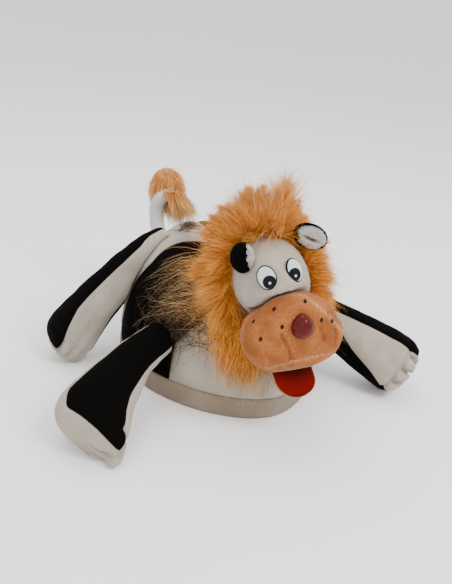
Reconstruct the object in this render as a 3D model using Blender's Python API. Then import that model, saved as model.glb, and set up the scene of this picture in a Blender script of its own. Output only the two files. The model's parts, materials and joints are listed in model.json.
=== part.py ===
"""Lion hat: a soft crown on a sweatband, with a stuffed lion's head, legs and a tail.

The lion faces -Y and its right side is -X. The hat stands on its sweatband and on its
four feet, so the floor is the plane Z = 0. Sizes are in metres, angles in degrees.
"""
import math

import bmesh
import bpy
from mathutils import Matrix, Vector

# The oval of the rim, and where its centre lies from the middle of the whole hat's box
RIM_HALF_WIDTH = 0.0855
RIM_HALF_LENGTH = 0.1031
RIM_FULLNESS = 1.75
CROWN_CENTRE = (0.0107, 0.0204)

# Crown: its profile, the lean and slope of its top, the puff of each gore and its cloth
CROWN_HEIGHT = 0.118
CROWN_FULLNESS = 2.3
TOP_LEAN = (-0.010, -0.030)
TOP_SLOPE = (-0.10, 0.30)
GORE_PUFF = 0.0020
CROWN_WALL = 0.0030
CROWN_ROWS = 9
SPACE_STEP = 5
TIP_CLIMB = 0.985
BAND_HEIGHT = 0.018
BAND_WALL = 0.0025
BAND_SET_IN = 0.0008
GAP = 0.0003
SEAM_SHARE = 0.8

# Seams of the crown in degrees round the rim: at the band, at each quarter of the climb and the top
SEAMS = {
    "back_left": (30, 29, 24, 14, 8),
    "back": (90, 90, 92, 98, 104),
    "back_right": (158, 160, 161, 146, 130),
    "front_right": (214, 214, 228, 240, 254),
    "front_left": (331, 325, 306, 290, 282),
}

# Gores of the crown: name, seams it lies between, columns, cloth
GORES = (
    ("crown_left", "front_left", "back_left", 7, "cream_plush"),
    ("crown_back_left", "back_left", "back", 6, "black_plush"),
    ("crown_back_right", "back", "back_right", 6, "cream_plush"),
    ("crown_right", "back_right", "front_right", 7, "black_plush"),
    ("crown_front", "front_right", "front_left", 9, "cream_plush"),
)

# Head, turned to the lion's right and tipped with its left side up
HEAD_TURN = 15
HEAD_TIP = 13
HEAD_CENTRE = Vector((-0.009, -0.086, 0.112))
HEAD_HALF = Vector((0.028, 0.040, 0.031))
SNOUT_CENTRE = Vector((-0.006, -0.118, 0.0845))
SNOUT_HALF = Vector((0.038, 0.026, 0.0255))
SNOUT_FULLNESS = 2.3
SNOUT_TIP = 9
BRIDGE_RISE = Vector((0.002, -0.006, 0.018))
BRIDGE_HALF = Vector((0.030, 0.016, 0.0165))
NOSE_HALF = Vector((0.0080, 0.0075, 0.0088))
NOSE_RISE = 0.016
EYE_HALF = Vector((0.0062, 0.0040, 0.0086))
EYE_SPREAD = 0.0105
EYE_RISE = 0.016
EAR_HALF_DEPTH = 0.0065
EAR_WALL = 0.0030

# Ears: name, place in the head's own directions, half width, half height, turn and tip of each
EARS = (
    ("ear_right", (-0.0195, -0.0128, 0.0264), 0.0110, 0.0125, 80, -25),
    ("ear_left", (0.0332, 0.0030, 0.0252), 0.0135, 0.0100, 5, 35),
)

# Tongue of two felts, hanging out from under the snout
TONGUE_ROOT = Vector((0.001, -0.004, 0.003))
TONGUE_HALF_WIDTH = 0.0140
TONGUE_LENGTH = 0.024
TONGUE_STEPS = 8
TONGUE_CUP = 0.0015
FELT_WALL = 0.0014

# Mane: a padded ring round the face, and its locks in degrees from the lion's left
MANE_CENTRE = Vector((0.0, 0.010, -0.010))
MANE_HALF_WIDTH = 0.032
MANE_HALF_HEIGHT = 0.047
MANE_PAD = 0.0085
MANE_LEAN = 0.14
MANE_STEPS = 30
MANE_DROOP = 0.25
MANE_LOCK_HALF = (0.0078, 0.0055)
LOCK_SIDES = 5
LOCK_STEPS = 4

# Length of the fur round the face: angle, length, spread
MANE_LENGTHS = (
    (0, 0.014, 0.6),
    (45, 0.024, 0.5),
    (76, 0.046, 0.2),
    (100, 0.030, 0.2),
    (125, 0.034, 0.3),
    (180, 0.020, 0.7),
    (230, 0.040, 0.8),
    (270, 0.026, 0.6),
    (330, 0.014, 0.6),
    (360, 0.014, 0.6),
)
MANE_LOCKS = 26

# Legs: name, root inside the crown, middle of the sole, the way the front of the leg looks,
# length of the sole from heel to toe, width of the foot, how far the leg bows out midway
LEGS = (
    ("leg_front_right", (-0.062, -0.036, 0.052), (-0.1472, -0.0988, 0.0168),
     (0.62, -0.48, -0.62), 0.059, 0.046, (-0.0050, 0.0040, 0.0050)),
    ("leg_front_left", (0.0597, -0.0462, 0.0622), (0.1265, -0.1035, 0.0210),
     (-0.49, -0.80, 0.35), 0.050, 0.054, (0.0, 0.0, 0.0)),
    ("leg_back_right", (-0.040, 0.025, 0.109), (-0.129, 0.033, 0.0125),
     (-0.05, -0.99, -0.06), 0.044, 0.044, (0.0, 0.0, 0.009)),
    ("leg_back_left", (0.036, 0.040, 0.094), (0.118, 0.062, 0.0132),
     (0.05, -0.99, -0.06), 0.044, 0.044, (0.0, 0.0, 0.009)),
)

# Sections of a leg: place along it, share of the foot's width and of the sole's length, share of the toes
LEG_SECTIONS = (
    (0.00, 0.50, 0.42, 0.0),
    (0.15, 0.68, 0.50, 0.0),
    (0.40, 0.80, 0.58, 0.0),
    (0.68, 0.92, 0.78, 0.0),
    (0.80, 0.97, 0.92, 0.6),
    (0.90, 1.00, 1.00, 1.0),
    (0.97, 0.94, 0.97, 1.0),
    (1.02, 0.72, 0.80, 0.8),
    (1.05, 0.36, 0.44, 0.2),
)
LEG_FULLNESS = 2.6
LEG_BACK_SIDES = 8
TOES = 4
TOE_STEPS = 4
TOE_DEPTH = 0.0042

# Tail: points along its middle, and the tuft round its tip
TAIL_RADIUS = 0.0075
TAIL_ROUTE = (
    (-0.027, 0.074, 0.080),
    (-0.029, 0.084, 0.097),
    (-0.029, 0.087, 0.112),
    (-0.026, 0.083, 0.122),
    (-0.019, 0.079, 0.128),
)
TAIL_TAPER = 0.75
TUFT_HALF = Vector((0.014, 0.014, 0.016))
TUFT_SHIFT = Vector((0.000, 0.013, 0.004))
TUFT_PULL = Vector((0.5, 0.3, -1.0))
TUFT_LOCKS = 9
TUFT_LENGTH = 0.040
TUFT_LOCK_HALF = (0.0045, 0.0065)

# Colour, roughness and metallic of each cloth and plastic
FINISHES = {
    "cream_plush": ((0.62, 0.54, 0.46), 0.90, 0.0),
    "black_plush": ((0.012, 0.011, 0.010), 0.85, 0.0),
    "beige_band": ((0.40, 0.33, 0.26), 0.92, 0.0),
    "tan_velour": ((0.50, 0.19, 0.07), 0.85, 0.0),
    "orange_fur": ((0.72, 0.25, 0.04), 0.80, 0.0),
    "grey_plush": ((0.60, 0.57, 0.54), 0.90, 0.0),
    "brown_plastic": ((0.10, 0.025, 0.018), 0.20, 0.0),
    "white_plastic": ((0.70, 0.75, 0.78), 0.18, 0.0),
    "red_felt": ((0.42, 0.014, 0.012), 0.95, 0.0),
    "tan_felt": ((0.60, 0.36, 0.20), 0.95, 0.0),
    "white_fleece": ((0.68, 0.63, 0.58), 0.95, 0.0),
}


def finish(name):
    """The material of that name, made once."""
    if name in bpy.data.materials:
        return bpy.data.materials[name]
    colour, roughness, metallic = FINISHES[name]
    made = bpy.data.materials.new(name)
    made.use_nodes = True
    shader = made.node_tree.nodes["Principled BSDF"]
    shader.inputs["Base Color"].default_value = (*colour, 1.0)
    shader.inputs["Roughness"].default_value = roughness
    shader.inputs["Metallic"].default_value = metallic
    made.diffuse_color = (*colour, 1.0)
    return made


def add_object(name, bm, cloth=None):
    """Object made from a bmesh, with its faces outwards; without a cloth it is a cutter."""
    bmesh.ops.recalc_face_normals(bm, faces=bm.faces)
    mesh = bpy.data.meshes.new(name)
    bm.to_mesh(mesh)
    bm.free()
    made = bpy.data.objects.new(name, mesh)
    bpy.context.scene.collection.objects.link(made)
    made.parent = bpy.data.objects["hat"]
    if cloth:
        mesh.materials.append(finish(cloth))
        mesh.shade_smooth()
    else:
        made.hide_render = True
        made.display_type = "WIRE"
    return made


def boolean(target, cutter, operation="DIFFERENCE", whole=False):
    """Cut the target by another object, or join that object to it."""
    step = target.modifiers.new(f"{operation.lower()}_{cutter.name}", "BOOLEAN")
    step.operation = operation
    step.object = cutter
    step.solver = "EXACT"
    step.use_self = whole


def power(value, exponent):
    """Signed power, for superellipses."""
    return math.copysign(abs(value) ** exponent, value)


def loft(bm, rings, closed=False):
    """Skin a list of rings of points; open ends are closed by a fan round their middle."""
    rows = [[bm.verts.new(point) for point in ring] for ring in rings]
    count = len(rows[0])
    pairs = list(zip(rows, rows[1:]))
    if closed:
        pairs.append((rows[-1], rows[0]))
    for low, high in pairs:
        for i in range(count):
            j = (i + 1) % count
            bm.faces.new((low[i], low[j], high[j], high[i]))
    if closed:
        return
    for row in (rows[0], rows[-1]):
        middle = bm.verts.new(sum((vert.co for vert in row), Vector()) / count)
        for i in range(count):
            bm.faces.new((row[i], row[(i + 1) % count], middle))


def oval(count, half_a, half_b, fullness, start=0.0):
    """Points of a superellipse as pairs, anticlockwise."""
    turns = [math.radians(start) + 2 * math.pi * i / count for i in range(count)]
    share = 2 / fullness
    return [(half_a * power(math.cos(t), share), half_b * power(math.sin(t), share)) for t in turns]


def egg(bm, centre, axes, half, fullness=2.0, columns=24, rows=12):
    """Closed superellipsoid: half sizes along the columns of the axes matrix."""
    share = 2 / fullness
    rings = []
    for row in range(1, rows):
        rise = math.pi * (row / rows - 0.5)
        level = half.z * power(math.sin(rise), share)
        reach = math.cos(rise) ** share
        ring = oval(columns, half.x * reach, half.y * reach, fullness)
        rings.append([centre + axes @ Vector((u, v, level)) for u, v in ring])
    loft(bm, rings)
    bm.verts.ensure_lookup_table()
    for pole, side in ((-2, -1), (-1, 1)):
        bm.verts[len(bm.verts) + pole].co = centre + axes @ Vector((0, 0, side * half.z))


def tube(bm, route, radii, sides):
    """Round tube with a radius at each point of a route that never runs along X, closed at both ends."""
    rings = []
    for i, point in enumerate(route):
        ahead = (route[min(i + 1, len(route) - 1)] - route[max(i - 1, 0)]).normalized()
        across = ahead.cross(Vector((1, 0, 0))).normalized()
        frame = Matrix((across.cross(ahead), across, ahead)).transposed()
        ring = oval(sides, radii[i], radii[i], 2.0)
        rings.append([point + frame @ Vector((u, v, 0)) for u, v in ring])
    loft(bm, rings)


def seam_turn(seam, climb):
    """Degrees round the rim of a seam at a climb between the band (0) and the top (1)."""
    turns = SEAMS[seam]
    place = climb * (len(turns) - 1)
    step = min(int(place), len(turns) - 2)
    return turns[step] + (turns[step + 1] - turns[step]) * (place - step)


def gore_span(first, last, climb):
    """Degrees where a gore starts and ends at a climb, the end always past the start."""
    start, end = seam_turn(first, climb), seam_turn(last, climb)
    return start, end + 360 if end < start else end


def gore_puff(turn, climb):
    """How far the gore at this place round the rim stands out between its seams."""
    for _, first, last, _, _ in GORES:
        start, end = gore_span(first, last, climb)
        for whole_turn in (0, -360, 360):
            if start <= turn + whole_turn <= end:
                return GORE_PUFF * math.sin(math.pi * (turn + whole_turn - start) / (end - start))
    return 0.0


def crown_point(turn, climb, depth=0.0):
    """Point of the crown: degrees round the rim, climb from floor (0) to top (1), depth into the cloth."""
    rise = climb * math.pi / 2
    share = 2 / CROWN_FULLNESS
    reach = math.cos(rise) ** share
    level = math.sin(rise) ** share
    out = gore_puff(turn, climb) * math.sin(rise) - depth
    angle = math.radians(turn)
    x = (RIM_HALF_WIDTH + out) * power(math.cos(angle), 2 / RIM_FULLNESS) * reach
    y = (RIM_HALF_LENGTH + out) * power(math.sin(angle), 2 / RIM_FULLNESS) * reach
    z = (CROWN_HEIGHT - depth) * level
    x += TOP_LEAN[0] * level ** 3
    y += TOP_LEAN[1] * level ** 3
    z += (TOP_SLOPE[0] * x + TOP_SLOPE[1] * y) * level ** 2
    return Vector((x, y, z))


def climb_to(height):
    """Climb at which the crown's upright wall reaches a height."""
    return math.asin((height / CROWN_HEIGHT) ** (CROWN_FULLNESS / 2)) * 2 / math.pi


def crown_climbs():
    """Rows of the crown from its lower edge to its tip."""
    low = climb_to(BAND_HEIGHT + GAP)
    return [low + (TIP_CLIMB - low) * row / CROWN_ROWS for row in range(CROWN_ROWS + 1)]


def gore(name, first, last, columns, cloth):
    """One curved panel of the crown, a wall between its outer and inner faces."""
    bm = bmesh.new()
    rows = []
    for climb in crown_climbs():
        start, end = gore_span(first, last, climb)
        radius = RIM_HALF_WIDTH * math.cos(climb * math.pi / 2) ** (2 / CROWN_FULLNESS)
        seam = math.degrees(SEAM_SHARE * GAP / radius)
        turns = [start + seam + (end - start - 2 * seam) * i / columns for i in range(columns + 1)]
        outside = [crown_point(turn, climb) for turn in turns]
        inside = [crown_point(turn, climb, CROWN_WALL) for turn in reversed(turns)]
        rows.append([bm.verts.new(point) for point in outside + inside])
    for vert in rows[0]:
        vert.co.z = BAND_HEIGHT + GAP
    count = len(rows[0])
    for low, high in zip(rows, rows[1:]):
        for i in range(count):
            j = (i + 1) % count
            bm.faces.new((low[i], low[j], high[j], high[i]))
    for row in (rows[0], rows[-1]):
        for i in range(columns):
            bm.faces.new((row[i], row[i + 1], row[count - 2 - i], row[count - 1 - i]))
    return add_object(name, bm, cloth)


def sweatband():
    """Flat band inside the rim, which the hat stands on."""
    bm = bmesh.new()
    rings = []
    for depth, height in ((0, 0), (0, BAND_HEIGHT), (BAND_WALL, BAND_HEIGHT), (BAND_WALL, 0)):
        inset = BAND_SET_IN + depth
        ring = oval(48, RIM_HALF_WIDTH - inset, RIM_HALF_LENGTH - inset, RIM_FULLNESS)
        rings.append([Vector((x, y, height)) for x, y in ring])
    loft(bm, rings, closed=True)
    return add_object("sweatband", bm, "beige_band")


def crown_space():
    """Cutter: everything that the crown and sweatband fill or hold, and the gap round them."""
    bm = bmesh.new()
    turns = range(0, 360, SPACE_STEP)
    climbs = [0.0] + crown_climbs()
    rings = [[crown_point(turn, 0, -GAP) - Vector((0, 0, 0.02)) for turn in turns]]
    rings += [[crown_point(turn, climb, -GAP) for turn in turns] for climb in climbs]
    loft(bm, rings)
    return add_object("crown_space", bm)


def head_axes(tip=HEAD_TIP):
    """Turn of the head: columns are its left, its back and its top."""
    return Matrix.Rotation(math.radians(-HEAD_TURN), 3, "Z") @ Matrix.Rotation(math.radians(-tip), 3, "Y")


def head_place(side, back, up, centre=HEAD_CENTRE, tip=HEAD_TIP):
    """Point given by its distances to the head's left, back and top."""
    return centre + head_axes(tip) @ Vector((side, back, up))


def egg_object(name, centre, axes, half, cloth=None, fullness=2.0, grow=0.0, columns=24, rows=12):
    """Superellipsoid object, grown all round when it is a cutter."""
    bm = bmesh.new()
    egg(bm, centre, axes, half + Vector((grow, grow, grow)), fullness, columns, rows)
    return add_object(name, bm, cloth)


def head(cutters):
    """Stuffed head with its plastic eyes, snout, nose and ears."""
    axes, snout_axes = head_axes(), head_axes(SNOUT_TIP)
    skull = egg_object("head", HEAD_CENTRE, axes, HEAD_HALF, "cream_plush")
    cutters["head"] = egg_object("head_space", HEAD_CENTRE, axes, HEAD_HALF, grow=GAP)
    boolean(skull, cutters["crown"])

    bridge_centre = SNOUT_CENTRE + snout_axes @ BRIDGE_RISE
    muzzle = egg_object("snout", SNOUT_CENTRE, snout_axes, SNOUT_HALF, "tan_velour", SNOUT_FULLNESS)
    boolean(muzzle, egg_object("bridge", bridge_centre, snout_axes, BRIDGE_HALF), "UNION")
    boolean(muzzle, cutters["crown"])
    cutters["snout"] = egg_object(
        "snout_space", SNOUT_CENTRE, snout_axes, SNOUT_HALF, fullness=SNOUT_FULLNESS, grow=GAP)
    cutters["bridge"] = egg_object("bridge_space", bridge_centre, snout_axes, BRIDGE_HALF, grow=GAP)
    for cutter in (cutters["snout"], cutters["bridge"]):
        boolean(skull, cutter)

    nose_centre = head_place(0, -SNOUT_HALF.y * 0.86, NOSE_RISE, SNOUT_CENTRE, SNOUT_TIP)
    nose = egg_object("nose", nose_centre, snout_axes, NOSE_HALF, "brown_plastic", columns=20, rows=10)
    boolean(nose, cutters["snout"])
    boolean(nose, cutters["bridge"])

    for name, side in (("eye_right", -1), ("eye_left", 1)):
        flat = (EYE_SPREAD / HEAD_HALF.x) ** 2 + (EYE_RISE / HEAD_HALF.z) ** 2
        place = Vector((side * EYE_SPREAD, -HEAD_HALF.y * math.sqrt(1 - flat), EYE_RISE))
        back = -Vector([along / half ** 2 for along, half in zip(place, HEAD_HALF)]).normalized()
        across = back.cross(Vector((0, 0, 1))).normalized()
        eye_axes = axes @ Matrix((across, back, across.cross(back))).transposed()
        centre = HEAD_CENTRE + axes @ place
        eye = egg_object(name, centre, eye_axes, EYE_HALF, "white_plastic", columns=20, rows=10)
        boolean(eye, cutters["head"])
        boolean(eye, cutters["bridge"])
        cutters.setdefault("eyes", []).append(
            egg_object(f"{name}_space", centre, eye_axes, EYE_HALF, grow=GAP, columns=20, rows=10))


def ear(name, place, half_width, half_height, turn, tip, cutters):
    """Ear in two pieces: a black back like a cup, and the white fleece that lines it."""
    centre = HEAD_CENTRE + head_axes() @ Vector(place)
    turned = Matrix.Rotation(math.radians(turn), 3, "Z") @ Matrix.Rotation(math.radians(tip), 3, "Y")
    axes = head_axes() @ turned
    half = Vector((half_width, EAR_HALF_DEPTH, half_height))
    cup = egg_object(name, centre, axes, half, "black_plush", columns=20, rows=10)
    front = centre + axes @ Vector((0, -EAR_WALL, 0))
    inner = half - Vector((EAR_WALL * 0.7, 0, EAR_WALL * 0.7))
    hollow = egg_object(f"{name}_hollow", front, axes, inner, grow=GAP, columns=17, rows=9)
    boolean(cup, hollow)
    boolean(cup, cutters["head"])
    pad_half = Vector((inner.x * 0.93, inner.y * 0.75, inner.z * 0.93))
    pad_centre = front + axes @ Vector((0, inner.y * 0.22, 0))
    pad = egg_object(f"{name}_lining", pad_centre, axes, pad_half, "white_fleece", columns=20, rows=10)
    boolean(pad, cutters["head"])
    whole = egg_object(f"{name}_space", centre, axes, half, grow=GAP, columns=20, rows=10)
    cutters.setdefault("ears", []).append(whole)


def tongue(cutters):
    """Tongue of red felt on a backing of tan felt, bent down under the snout."""
    axes = head_axes(SNOUT_TIP)
    root = TONGUE_ROOT - Vector((0, 0, SNOUT_HALF.z))
    for name, cloth, low in (("tongue", "red_felt", 0.0), ("tongue_backing", "tan_felt", FELT_WALL + 2 * GAP)):
        bm = bmesh.new()
        rings = []
        for step in range(TONGUE_STEPS + 1):
            along = step / TONGUE_STEPS
            half = TONGUE_HALF_WIDTH * math.sqrt(max(1 - max(along - 0.45, 0) ** 2 / 0.36, 0.02))
            bend = math.radians(35 + 30 * along)
            middle = root + Vector((0, -math.cos(bend), -math.sin(bend))) * TONGUE_LENGTH * along
            normal = Vector((0, -math.sin(bend), math.cos(bend)))
            ring = []
            for share, level in ((-1, 0), (0, 0), (1, 0), (1, 1), (0, 1), (-1, 1)):
                rise = TONGUE_CUP * share * share - low - FELT_WALL * level
                ring.append(middle + Vector((half * share, 0, 0)) + normal * rise)
            rings.append([SNOUT_CENTRE + axes @ point for point in ring])
        loft(bm, rings)
        felt = add_object(name, bm, cloth)
        boolean(felt, cutters["snout"])


def lock(bm, root, route, half_width, half_depth, flat):
    """One tapering lock of fur along a route; flat is the way its thin side faces."""
    rings = []
    for i, point in enumerate(route):
        ahead = (route[min(i + 1, len(route) - 1)] - route[max(i - 1, 0)]).normalized()
        across = ahead.cross(flat).normalized()
        thin = across.cross(ahead)
        taper = 1 - 0.86 * (i / (len(route) - 1)) ** 1.5
        ring = oval(LOCK_SIDES, half_width * taper, half_depth * taper, 2.0, 90 * i / len(route))
        rings.append([root + point + across * u + thin * v for u, v in ring])
    loft(bm, rings)


def table_value(table, at, column):
    """Value of a column between the rows of a table whose first column climbs."""
    for low, high in zip(table, table[1:]):
        if low[0] <= at <= high[0]:
            share = (at - low[0]) / (high[0] - low[0])
            return low[column] + (high[column] - low[column]) * share
    return table[-1][column]


def mane_ring_point(turn):
    """Middle of the mane's pad at an angle round the face, in the head's own directions."""
    angle = math.radians(turn)
    side = MANE_HALF_WIDTH * math.cos(angle)
    up = MANE_HALF_HEIGHT * math.sin(angle)
    return MANE_CENTRE + Vector((side, MANE_LEAN * up, up))


def mane(cutters):
    """Ring of padded fur round the face, with its locks standing out of it."""
    axes = head_axes()
    bm = bmesh.new()
    rings = []
    for step in range(MANE_STEPS):
        turn = 360 * step / MANE_STEPS
        out = Vector((math.cos(math.radians(turn)), 0, math.sin(math.radians(turn))))
        middle = mane_ring_point(turn)
        ring = [middle + out * u + Vector((0, v, 0)) for u, v in oval(8, MANE_PAD, MANE_PAD * 1.2, 2.0)]
        rings.append([HEAD_CENTRE + axes @ point for point in ring])
    loft(bm, rings, closed=True)
    pad = add_object("mane", bm, "orange_fur")

    bm = bmesh.new()
    for number in range(MANE_LOCKS):
        turn = 360 * (number + 0.3 * math.sin(number * 2.4)) / MANE_LOCKS % 360
        length = table_value(MANE_LENGTHS, turn, 1) * (1 + 0.18 * math.sin(number * 3.7))
        back = table_value(MANE_LENGTHS, turn, 2)
        out = Vector((math.cos(math.radians(turn)), back * 0.8, math.sin(math.radians(turn)))).normalized()
        start = mane_ring_point(turn)
        swirl = Vector((-out.z, 0, out.x)) * 0.25 * math.sin(number * 1.9)
        route = []
        for step in range(LOCK_STEPS + 1):
            along = step / LOCK_STEPS
            place = start + out * (0.002 + length * along) + swirl * length * along ** 2
            route.append(axes @ place - Vector((0, 0, MANE_DROOP * length * along ** 2)))
        lock(bm, HEAD_CENTRE, route, *MANE_LOCK_HALF, axes @ Vector((0, 1, 0)))
    locks = add_object("mane_locks", bm)
    boolean(pad, locks, "UNION", whole=True)
    for cutter in [cutters[name] for name in ("head", "snout", "bridge", "crown")] + cutters["ears"]:
        boolean(pad, cutter)


def leg_outline(half_width, half_length, toes):
    """Outline of a leg across it: its front, with toes of that depth, and then its rounded back."""
    outline = []
    steps = TOES * TOE_STEPS
    for step in range(steps + 1):
        across = 1 - 2 * step / steps
        front = (1 - abs(across) ** LEG_FULLNESS) ** (1 / LEG_FULLNESS)
        bulge = abs(math.sin(math.pi * step / TOE_STEPS)) ** 0.7
        outline.append((half_width * across, half_length * front + toes * (bulge - 0.5) * front))
    share = 2 / LEG_FULLNESS
    for step in range(1, LEG_BACK_SIDES):
        turn = math.pi * (1 + step / LEG_BACK_SIDES)
        reach, back = power(math.cos(turn), share), power(math.sin(turn), share)
        outline.append((half_width * reach, half_length * back))
    return outline


def leg(name, root, sole, front, sole_length, foot_width, bow, cutters):
    """Stuffed leg that widens to its sole, with toes along the front of the sole."""
    root, sole = Vector(root), Vector(sole)
    axis = (sole - root).normalized()
    side = axis.cross(Vector(front)).normalized()
    forward = side.cross(axis)
    bm = bmesh.new()
    rings = []
    for along, width, length, toes in LEG_SECTIONS:
        middle = root.lerp(sole, along) + Vector(bow) * math.sin(math.pi * along)
        outline = leg_outline(foot_width * width / 2, sole_length * length / 2, TOE_DEPTH * toes)
        rings.append([middle + side * u + forward * v for u, v in outline])
    loft(bm, rings)
    shaft = add_object(name, bm, "black_plush")
    boolean(shaft, cutters["crown"])
    boolean(shaft, cutters["floor"])


def tail(cutters):
    """Curled tube of the tail with a tuft of fur round its tip."""
    route = [Vector(point) for point in TAIL_ROUTE]
    radii = [TAIL_RADIUS] * (len(route) - 1) + [TAIL_RADIUS * TAIL_TAPER]
    bm = bmesh.new()
    tube(bm, route, radii, 12)
    stem = add_object("tail", bm, "grey_plush")
    boolean(stem, cutters["crown"])
    bm = bmesh.new()
    longer = route[:-1] + [route[-1] + (route[-1] - route[-2]).normalized() * 2 * GAP]
    tube(bm, longer, [radius + 2 * GAP for radius in radii], 14)
    stem_space = add_object("tail_space", bm)

    middle = route[-1] + TUFT_SHIFT
    core = egg_object("tail_tuft", middle, Matrix.Identity(3), TUFT_HALF, "orange_fur", columns=14, rows=8)
    bm = bmesh.new()
    for number in range(TUFT_LOCKS):
        angle = 2 * math.pi * (number + 0.3) / TUFT_LOCKS
        out = Vector((math.cos(angle), math.sin(angle), 0.2)).normalized()
        length = TUFT_LENGTH * (0.55 + 0.3 * math.cos(angle - 0.5))
        strand = []
        for step in range(LOCK_STEPS + 1):
            along = step / LOCK_STEPS
            strand.append(out * (0.004 + 0.012 * along) + TUFT_PULL * length * along ** 1.2)
        lock(bm, route[-1], strand, *TUFT_LOCK_HALF, out.cross(TUFT_PULL))
    boolean(core, add_object("tuft_locks", bm), "UNION", whole=True)
    boolean(core, stem_space)
    boolean(core, cutters["crown"])


def floor_space():
    """Cutter under the floor, which flattens what rests on it."""
    bm = bmesh.new()
    bmesh.ops.create_cube(bm, size=1.0, matrix=Matrix.Translation((0, 0, -0.5)))
    return add_object("floor_space", bm)


def build():
    """Clear the scene and make every piece of the hat."""
    for old in list(bpy.data.objects):
        bpy.data.objects.remove(old, do_unlink=True)
    centre = bpy.data.objects.new("hat", None)
    centre.location = (*CROWN_CENTRE, 0)
    bpy.context.scene.collection.objects.link(centre)
    cutters = {"crown": crown_space(), "floor": floor_space()}
    sweatband()
    for row in GORES:
        gore(*row)
    head(cutters)
    for row in EARS:
        ear(*row, cutters)
    tongue(cutters)
    mane(cutters)
    for row in LEGS:
        leg(*row, cutters)
    tail(cutters)
    bpy.context.view_layer.update()


build()
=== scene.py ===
"""Looks of the lion hat: plush gores, stuffed head and legs, long fur, felt tongue, glossy eyes.

The lion faces -Y and its right side is -X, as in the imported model. Sizes are in metres and
angles in degrees unless a name says otherwise. Pixels are those of a 452 by 584 picture.
"""
import functools
import json
import logging
import math
from dataclasses import dataclass
from enum import Enum
from typing import Callable, Sequence

import bmesh
import bpy
import numpy as np
from mathutils import Matrix, Vector, noise
from mathutils.bvhtree import BVHTree

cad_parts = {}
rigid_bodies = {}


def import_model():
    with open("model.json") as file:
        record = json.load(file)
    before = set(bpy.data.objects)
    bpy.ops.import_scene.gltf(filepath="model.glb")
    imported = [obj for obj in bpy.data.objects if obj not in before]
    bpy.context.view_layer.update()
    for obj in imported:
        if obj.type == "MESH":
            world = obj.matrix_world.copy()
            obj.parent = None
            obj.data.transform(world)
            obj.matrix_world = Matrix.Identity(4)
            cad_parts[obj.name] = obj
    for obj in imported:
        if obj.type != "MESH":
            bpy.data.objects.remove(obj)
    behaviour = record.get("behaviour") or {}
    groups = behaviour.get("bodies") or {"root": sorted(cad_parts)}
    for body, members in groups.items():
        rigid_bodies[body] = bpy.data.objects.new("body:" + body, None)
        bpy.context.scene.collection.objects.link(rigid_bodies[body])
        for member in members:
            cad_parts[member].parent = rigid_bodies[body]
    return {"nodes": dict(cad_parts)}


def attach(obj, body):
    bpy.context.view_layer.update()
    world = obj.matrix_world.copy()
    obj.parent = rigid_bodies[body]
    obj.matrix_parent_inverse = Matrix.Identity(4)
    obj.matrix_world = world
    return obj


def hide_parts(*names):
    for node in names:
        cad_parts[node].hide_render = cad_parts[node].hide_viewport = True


LOG = logging.getLogger("lion_hat")
BODY = "root"
Place = Colour = tuple[float, float, float]
Pixel = Span = tuple[float, float]
Table = tuple[tuple[float, ...], ...]
Piece = bpy.types.Object
Material = bpy.types.Material
Socket = bpy.types.NodeSocket
Solid = bmesh.types.BMesh
Test = Callable[[np.ndarray], np.ndarray]


def clear_scene() -> None:
    """Remove whatever the start-up scene holds."""
    for old in list(bpy.data.objects):
        bpy.data.objects.remove(old, do_unlink=True)


clear_scene()
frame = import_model()


# Pictures of places: the camera that stands where the photograph was taken

@dataclass(frozen=True)
class PhotoView:
    """The camera's place and the way it looks, with its focal length in pixels."""

    place: Place = (-0.23618, -0.42499, 0.29465)
    right: Place = (0.88797, -0.44895, 0.09976)
    up: Place = (0.10775, 0.41397, 0.90389)
    ahead: Place = (0.44710, 0.79188, -0.41597)
    focal: float = 650.0
    middle: Pixel = (226.0, 292.0)
    height: float = 584.0
    film: float = 36.0
    nearest: float = 0.20
    furthest: float = 0.80
    step: float = 0.002

    def ray(self, pixel: Pixel) -> Vector:
        """Direction from the camera through a pixel.

        Args:
            pixel: Column and row in the picture.

        Returns:
            The direction, of length one.
        """
        across = Vector(self.right) * (pixel[0] - self.middle[0])
        down = Vector(self.up) * (pixel[1] - self.middle[1])
        return (Vector(self.ahead) * self.focal + across - down).normalized()

    def strike(self, skin: BVHTree, pixel: Pixel) -> tuple[Vector, Vector]:
        """Where a pixel's ray meets a surface, or the point that it passes closest to.

        Args:
            skin: The surface as a tree of faces.
            pixel: Column and row in the picture.

        Returns:
            The point and the surface's normal there.
        """
        ray = self.ray(pixel)
        point, normal, _, _ = skin.ray_cast(Vector(self.place), ray)
        if point is None:
            steps = np.arange(self.nearest, self.furthest, self.step)
            found = (skin.find_nearest(Vector(self.place) + ray * far) for far in steps)
            point, normal, _, _ = min(found, key=lambda row: row[3])
        return point, normal

    def apart(self, points: np.ndarray, skin: BVHTree, line: Sequence[Pixel]) -> np.ndarray:
        """Distance of points from a line that the photo shows on a surface.

        Args:
            points: One row for each point.
            skin: The surface as a tree of faces.
            line: Pixels of the line's corners.

        Returns:
            The distances.
        """
        return line_distance(points, [self.strike(skin, pixel)[0] for pixel in line])

    def build(self) -> Piece:
        """Make the scene's camera.

        Returns:
            The camera object.
        """
        lens = bpy.data.cameras.new("photo_camera")
        lens.sensor_width = self.film
        lens.lens = self.focal / self.height * self.film
        lens.clip_start = 0.01
        camera = bpy.data.objects.new("photo_camera", lens)
        axes = Matrix((self.right, self.up, -Vector(self.ahead))).transposed().to_4x4()
        camera.matrix_world = Matrix.Translation(self.place) @ axes
        bpy.context.scene.collection.objects.link(camera)
        bpy.context.scene.camera = camera
        return camera


VIEW = PhotoView()


# Finishes: a small book of shader nodes, and one class for each kind of surface

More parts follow.
